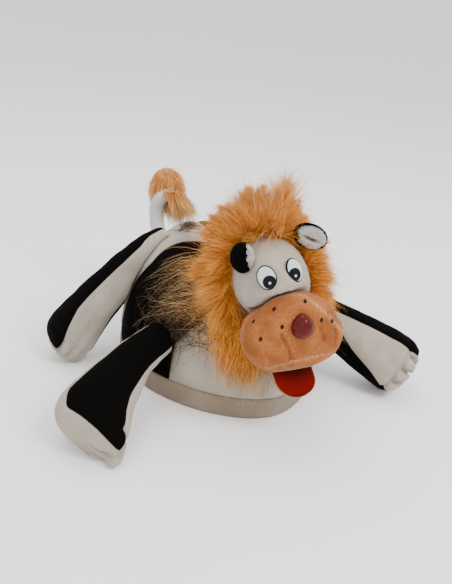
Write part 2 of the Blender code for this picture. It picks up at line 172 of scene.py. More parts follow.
class Shader:
    """Node tree of one material, built a node at a time."""

    def __init__(self, name: str) -> None:
        """Start a material with its Principled surface.

        Args:
            name: Name of the material.
        """
        self.material = bpy.data.materials.new(name)
        self.material.use_nodes = True
        self.tree = self.material.node_tree
        self.surface = self.tree.nodes["Principled BSDF"]

    def join(self, value: object, socket: Socket) -> None:
        """Link an output to a socket, or set the socket to a plain value.

        Args:
            value: An output socket, a number or a colour.
            socket: The input it goes into.
        """
        if isinstance(value, Socket):
            self.tree.links.new(value, socket)
        elif isinstance(value, tuple) and len(value) == 3 and socket.type == "RGBA":
            socket.default_value = (*value, 1.0)
        else:
            socket.default_value = value

    def set(self, **values: object) -> None:
        """Set or link inputs of the surface, named in lower case with underscores.

        Args:
            values: Values or outputs by input name.
        """
        for name, value in values.items():
            label = name.replace("_", " ").title().replace("Ior", "IOR")
            self.join(value, self.surface.inputs[label])

    def node(self, kind: str, inputs: dict[str | int, object], **settings: str) -> bpy.types.ShaderNode:
        """Add a node, with its inputs linked or set.

        Args:
            kind: Blender's name of the node, such as Math.
            inputs: Values or outputs by the input's name or number.
            settings: The node's own settings.

        Returns:
            The node.
        """
        node = self.tree.nodes.new("ShaderNode" + kind)
        for name, setting in settings.items():
            setattr(node, name, setting)
        for name, value in inputs.items():
            self.join(value, node.inputs[name])
        return node

    def attribute(self, name: str) -> Socket:
        """Value of a mesh attribute."""
        return self.node("Attribute", {}, attribute_name=name).outputs["Fac"]

    def speckle(self, scale: float, detail: float = 2.0, stretch: Place = (1, 1, 1)) -> Socket:
        """Noise over the surface.

        Args:
            scale: Lumps in a metre.
            detail: Finer layers.
            stretch: Scale along each axis.

        Returns:
            The noise's value, about 0 to 1.
        """
        where = self.node("TexCoord", {}).outputs["Object"]
        place = self.node("Mapping", {"Vector": where, "Scale": stretch}).outputs["Vector"]
        return self.node("TexNoise", {"Vector": place, "Scale": scale, "Detail": detail}).outputs["Fac"]

    def sum(self, operation: str, *terms: object) -> Socket:
        """Arithmetic on two or three terms, by Blender's name of the operation."""
        return self.node("Math", dict(enumerate(terms)), operation=operation).outputs["Value"]

    def span(self, value: Socket, low: float, high: float) -> Socket:
        """Clamped share of a value between two ends, of which the low one may be the larger."""
        ends = {"Value": value, "From Min": low, "From Max": high}
        return self.node("MapRange", ends).outputs["Result"]

    def blend(self, share: object, low: object, high: object) -> Socket:
        """Mix of two colours, from the first at a share of 0 to the second at 1."""
        return self.node("Mix", {0: share, 6: low, 7: high}, data_type="RGBA").outputs[2]

    def bump(self, height: Socket, distance: float, under: Socket | None = None) -> Socket:
        """Normal of a fine relief.

        Args:
            height: Relief from 0 to 1.
            distance: Its height in metres.
            under: Normal of a coarser relief below it, if any.

        Returns:
            The bent normal.
        """
        inputs = {"Distance": distance, "Height": height}
        if under:
            inputs["Normal"] = under
        return self.node("Bump", inputs).outputs["Normal"]


@dataclass(frozen=True)
class Plush:
    """Short plush: a nap of tiny lumps that lies in soft patches, and a pale bloom at its edges."""

    slot: str
    colour: Colour
    shade: Colour
    lumps: float = 1300.0
    relief: float = 0.0004
    patches: float = 45.0
    softness: float = 0.0012
    bloom: float = 0.25
    bloom_tint: Colour = (1.0, 0.96, 0.9)
    bloom_spread: float = 0.5
    roughness: float = 0.9
    shine: float = 0.1
    # painted shade: the colour that a fold is darkened to
    painted_fold_shade: Colour = (0.05, 0.03, 0.02)
    patch_ends: Span = (0.35, 0.7)
    nap_ends: Span = (0.62, 0.30)

    def pile(self, shader: Shader) -> tuple[Socket, Socket, Socket]:
        """Colour and relief of the nap.

        Args:
            shader: The material under way.

        Returns:
            Its colour, its fine lumps and its bent normal.
        """
        nap = shader.speckle(self.lumps, 3.0)
        patch = shader.speckle(self.patches, 4.0)
        colour = shader.blend(shader.span(patch, *self.patch_ends), self.shade, self.colour)
        colour = shader.blend(shader.span(nap, *self.nap_ends), colour, self.shade)
        return colour, nap, shader.bump(nap, self.relief, shader.bump(patch, self.softness))

    def material(self) -> Material:
        """Make the material.

        Returns:
            The plush material, which reads the attribute "fold" and paints shade into the fold where it is
            high.
        """
        shader = Shader(self.slot)
        colour, _, normal = self.pile(shader)
        # painted shade: darker where the attribute "fold" is high
        shader.set(base_color=shader.blend(shader.attribute("fold"), colour, self.painted_fold_shade),
                   roughness=self.roughness, sheen_weight=self.bloom, sheen_tint=self.bloom_tint,
                   sheen_roughness=self.bloom_spread, specular_ior_level=self.shine, normal=normal)
        return shader.material


@dataclass(frozen=True)
class PanelPlush:
    """Pale plush with black plush sewn in where the attribute "panel" is above zero."""

    slot: str
    light: Plush
    dark: Plush
    edge: float = 0.0003
    ragged: float = 0.0007
    shine: float = 0.03
    dark_ends: Span = (0.4, 0.7)

    def material(self) -> Material:
        """Make the material.

        Returns:
            The two-coloured plush material.
        """
        shader = Shader(self.slot + "_panels")
        pale, nap, normal = self.light.pile(shader)
        black = shader.blend(shader.span(nap, *self.dark_ends), self.dark.colour, self.dark.shade)
        uneven = shader.sum("SUBTRACT", nap, 0.5)
        inside = shader.sum("MULTIPLY_ADD", uneven, self.ragged, shader.attribute("panel"))
        share = shader.span(inside, -self.edge, self.edge)
        bloom = shader.sum("MULTIPLY", shader.sum("SUBTRACT", 1.0, share), self.light.bloom)
        shader.set(base_color=shader.blend(share, pale, black), roughness=self.light.roughness,
                   sheen_weight=bloom, sheen_tint=self.light.bloom_tint, specular_ior_level=self.shine,
                   normal=normal)
        return shader.material


@dataclass(frozen=True)
class Velour:
    """Tan velour: a dense short nap, brushed in patches, that frays paler along its seams, with a painted
    sheen along its upper outline.
    """

    slot: str
    colour: Colour
    shade: Colour
    # pale colour of flecks, of real fraying at the seam and of a painted sheen along the upper outline
    fray: Colour
    # painted shade: the colour that the creases darken to
    dark: Colour = (0.07, 0.018, 0.006)
    bloom_tint: Colour = (1.0, 0.70, 0.45)
    lumps: float = 1100.0
    patches: float = 75.0
    threads: float = 900.0
    fleck_share: float = 0.14
    relief: float = 0.0005
    softness: float = 0.0010
    patch_ends: Span = (0.38, 0.62)
    nap_ends: Span = (0.58, 0.34)
    fleck_ends: Span = (0.56, 0.74)

    def material(self) -> Material:
        """Make the material.

        Returns:
            The velour material. It reads the attributes "fold", painted crease shade, and "fray", seam
            fraying with a painted edge sheen.
        """
        shader = Shader(self.slot)
        nap = shader.speckle(self.lumps, 3.0)
        patch = shader.speckle(self.patches, 6.0)
        colour = shader.blend(shader.span(patch, *self.patch_ends), self.shade, self.colour)
        colour = shader.blend(shader.span(nap, *self.nap_ends), colour, self.shade)
        flecks = shader.span(shader.speckle(self.threads, 3.0), *self.fleck_ends)
        colour = shader.blend(shader.sum("MULTIPLY", flecks, self.fleck_share), colour, self.fray)
        # painted shade in the creases, where the attribute "fold" is high
        colour = shader.blend(shader.attribute("fold"), colour, self.dark)
        # real fraying at the seam and painted sheen along the upper outline, broken up by noise
        broken_up = shader.span(shader.speckle(self.threads, 4.0), *self.patch_ends)
        colour = shader.blend(shader.sum("MULTIPLY", shader.attribute("fray"), broken_up), colour, self.fray)
        shader.set(base_color=colour, roughness=0.85, sheen_weight=0.22, sheen_tint=self.bloom_tint,
                   sheen_roughness=0.35, specular_ior_level=0.1,
                   normal=shader.bump(nap, self.relief, shader.bump(patch, self.softness)))
        return shader.material


@dataclass(frozen=True)
class Fibre:
    """Fur fibres: dark at the root and pale at the tip, each a little different."""

    slot: str
    root: Colour
    body: Colour
    tip: Colour
    pale: Colour = (0.74, 0.50, 0.22)
    bloom_tint: Colour = (1.0, 0.7, 0.4)
    own_tone: float = 0.55
    lumps: float = 55.0
    body_ends: Span = (0.25, 0.75)
    root_ends: Span = (0.0, 0.35)
    tip_ends: Span = (0.45, 1.0)
    light_ends: Span = (0.30, 0.80)
    name: str = ""

    def material(self) -> Material:
        """Make the material.

        Returns:
            The fibre material, which reads the attributes "along", "tone" and "pale".
        """
        shader = Shader(self.name or self.slot)
        along = shader.attribute("along")
        tone = shader.sum("MULTIPLY", shader.attribute("tone"), self.own_tone)
        lock = shader.sum("MULTIPLY", shader.speckle(self.lumps, 3.0), 1 - self.own_tone)
        shade = shader.sum("ADD", tone, lock)
        body = shader.blend(shader.span(shade, *self.body_ends), self.root, self.body)
        colour = shader.blend(shader.span(along, *self.root_ends), self.root, body)
        tips = shader.span(along, *self.tip_ends)
        light = shader.sum("MULTIPLY", tips, shader.span(shade, *self.light_ends))
        colour = shader.blend(light, colour, self.tip)
        colour = shader.blend(shader.attribute("pale"), colour, self.pale)
        shader.set(base_color=colour, roughness=0.62, sheen_weight=0.12, sheen_tint=self.bloom_tint,
                   sheen_roughness=0.4, specular_ior_level=0.15)
        return shader.material


@dataclass(frozen=True)
class FurBacking:
    """Matted fur below the loose fibres: streaks of light and dark."""

    slot: str
    root: Colour
    body: Colour
    pale: Colour = (0.62, 0.42, 0.20)
    streaks: float = 260.0
    relief: float = 0.0022

    def material(self) -> Material:
        """Make the material.

        Returns:
            The matted fur material, which reads the attribute "pale".
        """
        shader = Shader(self.slot + "_backing")
        streak = shader.speckle(self.streaks, 5.0, (1.0, 0.35, 1.0))
        colour = shader.blend(shader.span(streak, 0.35, 0.7), self.root, self.body)
        colour = shader.blend(shader.attribute("pale"), colour, self.pale)
        shader.set(base_color=colour, roughness=0.9, sheen_weight=0.1, specular_ior_level=0.1,
                   normal=shader.bump(streak, self.relief))
        return shader.material


@dataclass(frozen=True)
class Felt:
    """Pressed felt: matted short fibres with a slight mottle."""

    slot: str
    colour: Colour
    shade: Colour
    bloom: float = 0.1
    lumps: float = 1100.0
    relief: float = 0.0003
    mottle: float = 0.35

    def material(self) -> Material:
        """Make the material.

        Returns:
            The felt material, with shade painted in where the attribute "fold" is high.
        """
        shader = Shader(self.slot)
        mat = shader.speckle(self.lumps, 6.0)
        mottled = shader.sum("MULTIPLY", shader.span(mat, 0.65, 0.35), self.mottle)
        colour = shader.blend(mottled, self.colour, self.shade)
        # painted shade: darker where the attribute "fold" is high
        colour = shader.blend(shader.attribute("fold"), colour, self.shade)
        shader.set(base_color=colour, roughness=0.92, sheen_weight=self.bloom, specular_ior_level=0.06,
                   normal=shader.bump(mat, self.relief))
        return shader.material


@dataclass(frozen=True)
class BandCloth:
    """Woven lining cloth of the sweatband: a fine weave with soft stains."""

    slot: str
    colour: Colour
    shade: Colour
    thread: float = 0.0007
    relief: float = 0.00012
    stains: float = 28.0
    rumples: float = 70.0
    rumple_depth: float = 0.0010

    def material(self) -> Material:
        """Make the material.

        Returns:
            The woven material, which reads the piece's own UV map in metres.
        """
        shader = Shader(self.slot)
        ends = {"Vector": shader.node("TexCoord", {}).outputs["UV"], "Scale": 0.314 / self.thread}
        threads = [shader.node("TexWave", ends, bands_direction=way).outputs["Fac"] for way in "XY"]
        weave = shader.sum("ADD", *threads)
        stain = shader.speckle(self.stains, 4.0)
        rumple = shader.bump(shader.speckle(self.rumples, 3.0), self.rumple_depth)
        colour = shader.blend(shader.span(stain, 0.35, 0.7), self.shade, self.colour)
        shader.set(base_color=colour, roughness=0.88, sheen_weight=0.12, specular_ior_level=0.2,
                   normal=shader.bump(weave, self.relief, rumple))
        return shader.material


@dataclass(frozen=True)
class GlossPlastic:
    """Moulded plastic with a soft mottle under a glossy skin."""

    slot: str
    colour: Colour
    shade: Colour
    roughness: float = 0.13
    shine: float = 0.12
    lumps: float = 160.0

    def material(self) -> Material:
        """Make the material.

        Returns:
            The plastic material.
        """
        shader = Shader(self.slot)
        mottle = shader.speckle(self.lumps)
        shader.set(base_color=shader.blend(mottle, self.shade, self.colour), roughness=self.roughness,
                   specular_ior_level=self.shine)
        return shader.material


@dataclass(frozen=True)
class EyePrint:
    """Glossy white eye with a printed black pupil, glint and outline."""

    slot: str
    white: Colour
    ink: Colour
    pupil: float = 0.0046
    glint: float = 0.00085
    rim: float = 0.875
    edge: float = 0.00012
    rim_edge: float = 0.03

    def material(self) -> Material:
        """Make the material.

        Returns:
            The eye material, which reads the attributes "pupil", "glint" and "rim".
        """
        shader = Shader(self.slot)
        dark = shader.span(shader.attribute("pupil"), self.pupil + self.edge, self.pupil - self.edge)
        line = shader.span(shader.attribute("rim"), self.rim, self.rim + self.rim_edge)
        light = shader.span(shader.attribute("glint"), self.glint + self.edge, self.glint - self.edge)
        cloud = shader.blend(shader.speckle(120.0), self.white, tuple(0.93 * part for part in self.white))
        colour = shader.blend(shader.sum("MAXIMUM", dark, line), cloud, self.ink)
        colour = shader.blend(light, colour, self.white)
        shader.set(base_color=colour, roughness=0.3, specular_ior_level=0.15)
        return shader.material


@dataclass(frozen=True)
class Paper:
    """Seamless pale floor of the studio."""

    slot: str
    colour: Colour

    def material(self) -> Material:
        """Make the material.

        Returns:
            The floor's material.
        """
        shader = Shader(self.slot)
        grain = shader.blend(shader.speckle(3.0), self.colour, tuple(0.985 * part for part in self.colour))
        shader.set(base_color=grain, roughness=0.95, specular_ior_level=0.0)
        return shader.material


CREAM_PLUSH = Plush("cream_plush", (0.43, 0.375, 0.315), (0.29, 0.25, 0.205), bloom=0.12)
BLACK_PLUSH = Plush("black_plush", (0.0020, 0.0018, 0.0015), (0.0012, 0.0011, 0.0009), bloom=0.0,
                    shine=0.03)


class Finish(Enum):
    """Every finish of the hat and its floor."""

    CREAM = CREAM_PLUSH
    BLACK = BLACK_PLUSH
    PANELS = PanelPlush("black_plush", CREAM_PLUSH, BLACK_PLUSH)
    GREY = Plush("grey_plush", (0.62, 0.60, 0.59), (0.48, 0.455, 0.44), bloom=0.15)
    FLEECE = Plush("white_fleece", (0.60, 0.575, 0.55), (0.42, 0.38, 0.35), lumps=520.0, relief=0.0011,
                   bloom=0.1)
    VELOUR = Velour("tan_velour", (0.36, 0.122, 0.034), (0.215, 0.062, 0.015), (0.60, 0.35, 0.18))
    MANE = Fibre("orange_fur", (0.38, 0.10, 0.008), (0.86, 0.34, 0.038), (0.86, 0.50, 0.14))
    WISP = Fibre("orange_fur", (0.30, 0.15, 0.05), (0.60, 0.36, 0.15), (0.66, 0.47, 0.26),
                 name="golden_wisps")
    MATTED = Fibre("orange_fur", (0.020, 0.012, 0.007), (0.10, 0.055, 0.025), (0.24, 0.15, 0.08),
                   name="matted_hairs")
    FUZZ = Fibre("white_fleece", (0.46, 0.43, 0.40), (0.66, 0.64, 0.62), (0.76, 0.75, 0.73),
                 name="fleece_fuzz")
    BACKING = FurBacking("orange_fur", (0.26, 0.065, 0.008), (0.62, 0.20, 0.028))
    RED_FELT = Felt("red_felt", (0.135, 0.0035, 0.0025), (0.035, 0.0015, 0.001), bloom=0.0)
    TAN_FELT = Felt("tan_felt", (0.42, 0.22, 0.10), (0.16, 0.08, 0.035))
    BAND = BandCloth("beige_band", (0.27, 0.215, 0.16), (0.19, 0.145, 0.10))
    NOSE = GlossPlastic("brown_plastic", (0.085, 0.008, 0.006), (0.055, 0.005, 0.004))
    EYE = EyePrint("white_plastic", (0.50, 0.56, 0.60), (0.002, 0.002, 0.002))
    THREAD = Felt("brown_plastic", (0.020, 0.008, 0.005), (0.010, 0.004, 0.003))
    FLOOR = Paper("floor_paper", (0.90, 0.895, 0.895))


@functools.lru_cache(maxsize=None)
def material_of(finish: Finish) -> Material:
    """The material of a finish, made once."""
    return finish.value.material()


# Meshes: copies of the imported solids, and what is done to them

def add_piece(name: str, bm: Solid) -> Piece:
    """Object made from a bmesh, shaded smooth.

    Args:
        name: Name of the piece.
        bm: Its shape, which is freed.

    Returns:
        The linked object.
    """
    mesh = bpy.data.meshes.new(name)
    bm.to_mesh(mesh)
    bm.free()
    mesh.shade_smooth()
    piece = bpy.data.objects.new(name, mesh)
    bpy.context.scene.collection.objects.link(piece)
    return piece


def node_copy(node: str) -> Solid:
    """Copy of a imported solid, with its loose triangles joined.

    Args:
        node: Name of the node.

    Returns:
        The copy.
    """
    bm = bmesh.new()
    bm.from_mesh(frame["nodes"][node].data)
    bmesh.ops.remove_doubles(bm, verts=bm.verts, dist=0.00002)
    bm.normal_update()
    return bm


def settle(piece: Piece) -> None:
    """Apply every modifier of a piece to its mesh.

    Args:
        piece: The piece, whose modifiers are removed.
    """
    depsgraph = bpy.context.evaluated_depsgraph_get()
    made = bpy.data.meshes.new_from_object(piece.evaluated_get(depsgraph))
    piece.modifiers.clear()
    old = piece.data
    piece.data = made
    bpy.data.meshes.remove(old)
    made.name = piece.name
    made.shade_smooth()


def rows_of(parts: bpy.types.bpy_prop_collection, name: str) -> np.ndarray:
    """Vectors held by the parts of a mesh.

    Args:
        parts: The parts, such as its vertices.
        name: Name of the vector.

    Returns:
        One row for each part.
    """
    flat = np.zeros(len(parts) * 3)
    parts.foreach_get(name, flat)
    return flat.reshape(-1, 3)


def points_of(piece: Piece) -> np.ndarray:
    """Places of a mesh's vertices, one row each."""
    return rows_of(piece.data.vertices, "co")


def normals_of(piece: Piece) -> np.ndarray:
    """Normals of a mesh's vertices, one row each."""
    return rows_of(piece.data.vertex_normals, "vector")


def move_to(piece: Piece, points: np.ndarray) -> None:
    """Put a mesh's vertices at new places.

    Args:
        piece: The piece.
        points: One row for each vertex.
    """
    piece.data.vertices.foreach_set("co", points.astype(np.float32).ravel())
    piece.data.update()


def write_attribute(piece: Piece, name: str, values: np.ndarray) -> None:
    """Store one number for each vertex.

    Args:
        piece: The piece.
        name: Name of the attribute.
        values: The numbers.
    """
    layer = piece.data.attributes.get(name) or piece.data.attributes.new(name, "FLOAT", "POINT")
    layer.data.foreach_set("value", values.astype(np.float32))


def skin_of(piece: Piece) -> BVHTree:
    """Tree of a piece's faces, for rays and nearest points."""
    return BVHTree.FromObject(piece, bpy.context.evaluated_depsgraph_get())


def ripple(points: np.ndarray, lumps: float, seed: float) -> np.ndarray:
    """Smooth noise at each point.

    Args:
        points: One row for each point.
        lumps: Lumps in a metre.
        seed: Shift that makes one pattern differ from another.

    Returns:
        Values of about -1 to 1.
    """
    shift = Vector((seed, seed * 0.7, -seed))
    return np.array([noise.noise(Vector(point) * lumps + shift) for point in points])


def fade(distance: np.ndarray | float, width: float) -> np.ndarray | float:
    """Bell curve: 1 at no distance, and nothing a few widths away."""
    return np.exp(-(distance / width) ** 2)


def line_distance(points: np.ndarray, route: Sequence[Vector]) -> np.ndarray:
    """Distance of each point from a line of straight runs.

    Args:
        points: One row for each point.
        route: Corners of the line.

    Returns:
        The distances.
    """
    best = np.full(len(points), np.inf)
    for start, end in zip(route, route[1:]):
        base, run = np.array(start), np.array(end - start)
        share = np.clip((points - base) @ run / max(run @ run, 1e-12), 0, 1)
        best = np.minimum(best, np.linalg.norm(points - base - share[:, None] * run, axis=1))
    return best


@dataclass(frozen=True)
class Seat:
    """Middle of a piece and the three axes that it is measured along."""

    axes: Matrix
    centre: Vector

    def measure(self, points: np.ndarray) -> np.ndarray:
        """Points as distances from the middle along the axes."""
        return (points - np.array(self.centre)) @ np.array(self.axes)

    def place(self, local: np.ndarray) -> np.ndarray:
        """Points from their distances along the axes."""
        return local @ np.array(self.axes).T + np.array(self.centre)


def thicken(piece: Piece, wall: float, offset: float = -1.0) -> None:
    """Turn a sheet into a wall.

    Args:
        piece: The sheet.
        wall: Thickness of the wall.
        offset: Where it goes, from -1 behind the sheet to 0 on both sides.
    """
    solidify = piece.modifiers.new("cloth", "SOLIDIFY")
    solidify.thickness = wall
    solidify.offset = offset


def dress(piece: Piece, finish: Finish, *nodes: str, fill: float | None = None) -> Piece:
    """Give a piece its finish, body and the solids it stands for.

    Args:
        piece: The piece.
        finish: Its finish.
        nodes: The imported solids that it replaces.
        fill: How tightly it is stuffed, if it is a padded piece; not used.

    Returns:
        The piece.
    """
    piece.data.materials.clear()
    piece.data.materials.append(material_of(finish))
    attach(piece, BODY)
    if nodes:
        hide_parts(*nodes)
    LOG.info("%s: %d vertices", piece.name, len(piece.data.vertices))
    return piece


@dataclass(frozen=True)
class Stuffing:
    """How a stuffed piece is filled: what it starts from and how far it swells."""

    shrink: float = 0.0010
    voxel: float = 0.0025
    pressure: float = 4.0
    cap: float = 0.0020
    steps: int = 20
    smooth: int = 3

    def build(self, name: str, node: str) -> Piece:
        """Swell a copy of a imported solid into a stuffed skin.

        Args:
            name: Name of the new piece.
            node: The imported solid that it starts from.

        Returns:
            The piece, with its simulation and one subdivision applied.
        """
        bm = node_copy(node)
        for vert in bm.verts:
            vert.co -= vert.normal * self.shrink
        piece = add_piece(name, bm)
        remesh = piece.modifiers.new("skin", "REMESH")
        remesh.mode = "VOXEL"
        remesh.voxel_size = self.voxel
        settle(piece)
        self.relax(piece)
        self.swell(piece)
        subdivision = piece.modifiers.new("fine", "SUBSURF")
        subdivision.levels = subdivision.render_levels = 1
        settle(piece)
        return piece

    def relax(self, piece: Piece) -> None:
        """Smooth out the flat facets of the solid.

        Args:
            piece: The remeshed piece.
        """
        bm = bmesh.new()
        bm.from_mesh(piece.data)
        for _ in range(self.smooth):
            bmesh.ops.smooth_vert(bm, verts=bm.verts, factor=0.5,
                                  use_axis_x=True, use_axis_y=True, use_axis_z=True)
        bm.to_mesh(piece.data)
        bm.free()

    def swell(self, piece: Piece) -> None:
        """Blow the skin up as cloth under pressure, no further than the cap.

        Args:
            piece: The relaxed piece.
        """
        before = points_of(piece)
        cloth = piece.modifiers.new("stuffing", "CLOTH")
        cloth.settings.use_pressure = True
        cloth.settings.uniform_pressure_force = self.pressure
        cloth.settings.effector_weights.gravity = 0
        scene = bpy.context.scene
        for step in range(1, self.steps + 1):
            scene.frame_set(step)
        settle(piece)
        scene.frame_set(1)
        moved = points_of(piece) - before
        far = np.linalg.norm(moved, axis=1, keepdims=True)
        move_to(piece, before + moved * np.minimum(1, self.cap / np.maximum(far, 1e-9)))


# Loose fibres

@dataclass
class Fur:
    """Many loose fibres in one mesh of thin tapered ribbons, each a short line of points."""

    name: str
    width: float
    points: int = 5
    seed: int = 1

    def __post_init__(self) -> None:
        """Start the fur's own random draws."""
        self.draw = np.random.default_rng(self.seed)

    def on(self, piece: Piece, count: int, keep: Test | None = None) -> tuple[np.ndarray, np.ndarray]:
        """Roots spread evenly over a surface.

        Args:
            piece: The surface that the fibres grow from.
            count: How many roots are drawn.
            keep: Test of their places that says which of them stay.

        Returns:
            Places and normals of the roots.
        """
        mesh = piece.data
        mesh.calc_loop_triangles()
        corners = np.zeros(len(mesh.loop_triangles) * 3, dtype=np.int32)
        mesh.loop_triangles.foreach_get("vertices", corners)
        corners = corners.reshape(-1, 3)
        points = points_of(piece)[corners]
        cross = np.cross(points[:, 1] - points[:, 0], points[:, 2] - points[:, 0])
        area = np.linalg.norm(cross, axis=1)
        picked = self.draw.choice(len(area), size=count, p=area / area.sum())
        first, second = np.sqrt(self.draw.random(count)), self.draw.random(count)
        shares = np.stack((1 - first, first * (1 - second), first * second), axis=1)
        roots = (points[picked] * shares[:, :, None]).sum(axis=1)
        normals = cross[picked] / np.maximum(area[picked, None], 1e-12)
        if keep is not None:
            kept = keep(roots)
            roots, normals = roots[kept], normals[kept]
        return roots, normals

    def routes(self, roots: np.ndarray, flow: np.ndarray, length: np.ndarray,
               droop: float, curl: float) -> np.ndarray:
        """Lines of fibres that start along a flow, sag and curl.

        Args:
            roots: Where they start.
            flow: The way each starts, any length.
            length: Length of each.
            droop: Share of its length that a fibre falls.
            curl: Share of its length that a fibre bends aside.

        Returns:
            Points of each fibre, as fibre, point and axis.
        """
        along = np.linspace(0, 1, self.points)[None, :, None]
        ahead = flow / np.maximum(np.linalg.norm(flow, axis=1, keepdims=True), 1e-9)
        aside = np.cross(ahead, self.draw.normal(size=ahead.shape))
        aside /= np.maximum(np.linalg.norm(aside, axis=1, keepdims=True), 1e-9)
        bend = self.draw.normal(0, curl, len(roots))[:, None, None]
        size = length[:, None, None]
        fall = np.array((0, 0, -1.0)) * droop
        lines = ahead[:, None] * along + aside[:, None] * bend * along ** 2 + fall * along ** 2
        return roots[:, None] + size * lines

    def clump(self, lines: np.ndarray, guides: int, pull: float) -> np.ndarray:
        """Draw fibres together towards the tips of their nearest guides, as locks.

        Args:
            lines: Points of each fibre.
            guides: How many fibres lead a lock.
            pull: How far the tips come together, 0 to 1.

        Returns:
            The moved points.
        """
        leaders = self.draw.choice(len(lines), size=min(guides, len(lines) // 3), replace=False)
        starts = lines[leaders, 0]
        nearest = np.empty(len(lines), dtype=int)
        for first in range(0, len(lines), 4000):
            block = lines[first:first + 4000, 0]
            nearest[first:first + 4000] = ((block[:, None] - starts[None]) ** 2).sum(axis=2).argmin(axis=1)
        along = np.linspace(0, 1, lines.shape[1])[None, :, None]
        strength = (pull * self.draw.uniform(0.5, 1.0, len(lines)))[:, None, None]
        share = strength * along ** 1.2
        led = lines[leaders[nearest]]
        return lines * (1 - share) + led * share

    def build(self, lines: np.ndarray, finish: Finish, pale: np.ndarray | float = 0.0) -> Piece:
        """Make the ribbons.

        Args:
            lines: Points of each fibre.
            finish: Finish of the fur.
            pale: How bleached each fibre is at its tip, 0 to 1.

        Returns:
            The dressed piece.
        """
        count = lines.shape[1]
        curve = bpy.data.curves.new(self.name + "_lines", "CURVE")
        curve.dimensions = "3D"
        curve.extrude = 0.5 * self.width
        taper = np.linspace(1.0, 0.0, count) ** 0.7 * 0.9 + 0.1
        tilts = self.draw.uniform(0, math.pi, len(lines))
        thick = self.draw.uniform(0.6, 1.2, len(lines))
        fours = np.concatenate((lines, np.ones((*lines.shape[:2], 1))), axis=2).astype(np.float32)
        for line, tilt, size in zip(fours, tilts, thick):
            spline = curve.splines.new("POLY")
            spline.points.add(count - 1)
            spline.points.foreach_set("co", line.ravel())
            spline.points.foreach_set("radius", (taper * size).astype(np.float32))
            spline.points.foreach_set("tilt", np.full(count, tilt, dtype=np.float32))
        holder = bpy.data.objects.new(self.name + "_lines", curve)
        bpy.context.scene.collection.objects.link(holder)
        mesh = bpy.data.meshes.new_from_object(holder.evaluated_get(bpy.context.evaluated_depsgraph_get()))
        bpy.data.objects.remove(holder, do_unlink=True)
        mesh.name = self.name
        piece = bpy.data.objects.new(self.name, mesh)
        bpy.context.scene.collection.objects.link(piece)
        side = len(mesh.vertices) // (len(lines) * count)
        along = np.tile(np.repeat(np.linspace(0, 1, count), side), len(lines))
        write_attribute(piece, "along", along)
        write_attribute(piece, "tone", np.repeat(self.draw.random(len(lines)), side * count))
        bleached = np.repeat(np.broadcast_to(pale, len(lines)), side * count)
        write_attribute(piece, "pale", np.clip(bleached * (0.4 + 0.6 * along), 0, 1))
        return dress(piece, finish)


# Crown and sweatband

@dataclass(frozen=True)
class CrownShape:
    """The crown's form: an oval rim, a domed side and a leaning top."""

    centre: Place = (0.0107, 0.0204, 0.0)
    half_width: float = 0.0855
    half_length: float = 0.1031
    rim_fullness: float = 1.75
    height: float = 0.118
    fullness: float = 2.3
    lean: tuple[float, float] = (-0.010, -0.030)
    slope: tuple[float, float] = (-0.10, 0.30)

    def point(self, turn: float, climb: float, out: float = 0.0) -> Vector:
        """Point of the crown.

        Args:
            turn: Degrees round the rim from +X.
            climb: Climb from the floor, 0, to the top, 1.
            out: How far outside the plain form.

        Returns:
            The point.
        """
        rise = climb * math.pi / 2
        share = 2 / self.fullness
        reach, level = math.cos(rise) ** share, math.sin(rise) ** share
        angle = math.radians(turn)
        power = 2 / self.rim_fullness
        across = math.copysign(abs(math.cos(angle)) ** power, math.cos(angle))
        back = math.copysign(abs(math.sin(angle)) ** power, math.sin(angle))
        x = (self.half_width + out) * across * reach + self.lean[0] * level ** 3
        y = (self.half_length + out) * back * reach + self.lean[1] * level ** 3
        z = (self.height + out) * level + (self.slope[0] * x + self.slope[1] * y) * level ** 2
        return Vector(self.centre) + Vector((x, y, z))

    def climb_to(self, height: float) -> float:
        """Climb at which the upright side reaches a height."""
        return math.asin((height / self.height) ** (self.fullness / 2)) * 2 / math.pi


CROWN = CrownShape()


@dataclass(frozen=True)
class Gore:
    """One curved cloth panel of the crown, between two seams."""

    name: str
    finish: Finish
    starts: tuple[float, ...]
    ends: tuple[float, ...]
    wrinkle: float = 0.0008

    def edge(self, turns: tuple[float, ...], climb: float) -> float:
        """Degrees of a seam at a climb, read between its quarters."""
        return float(np.interp(climb, np.linspace(0, 1, len(turns)), turns))


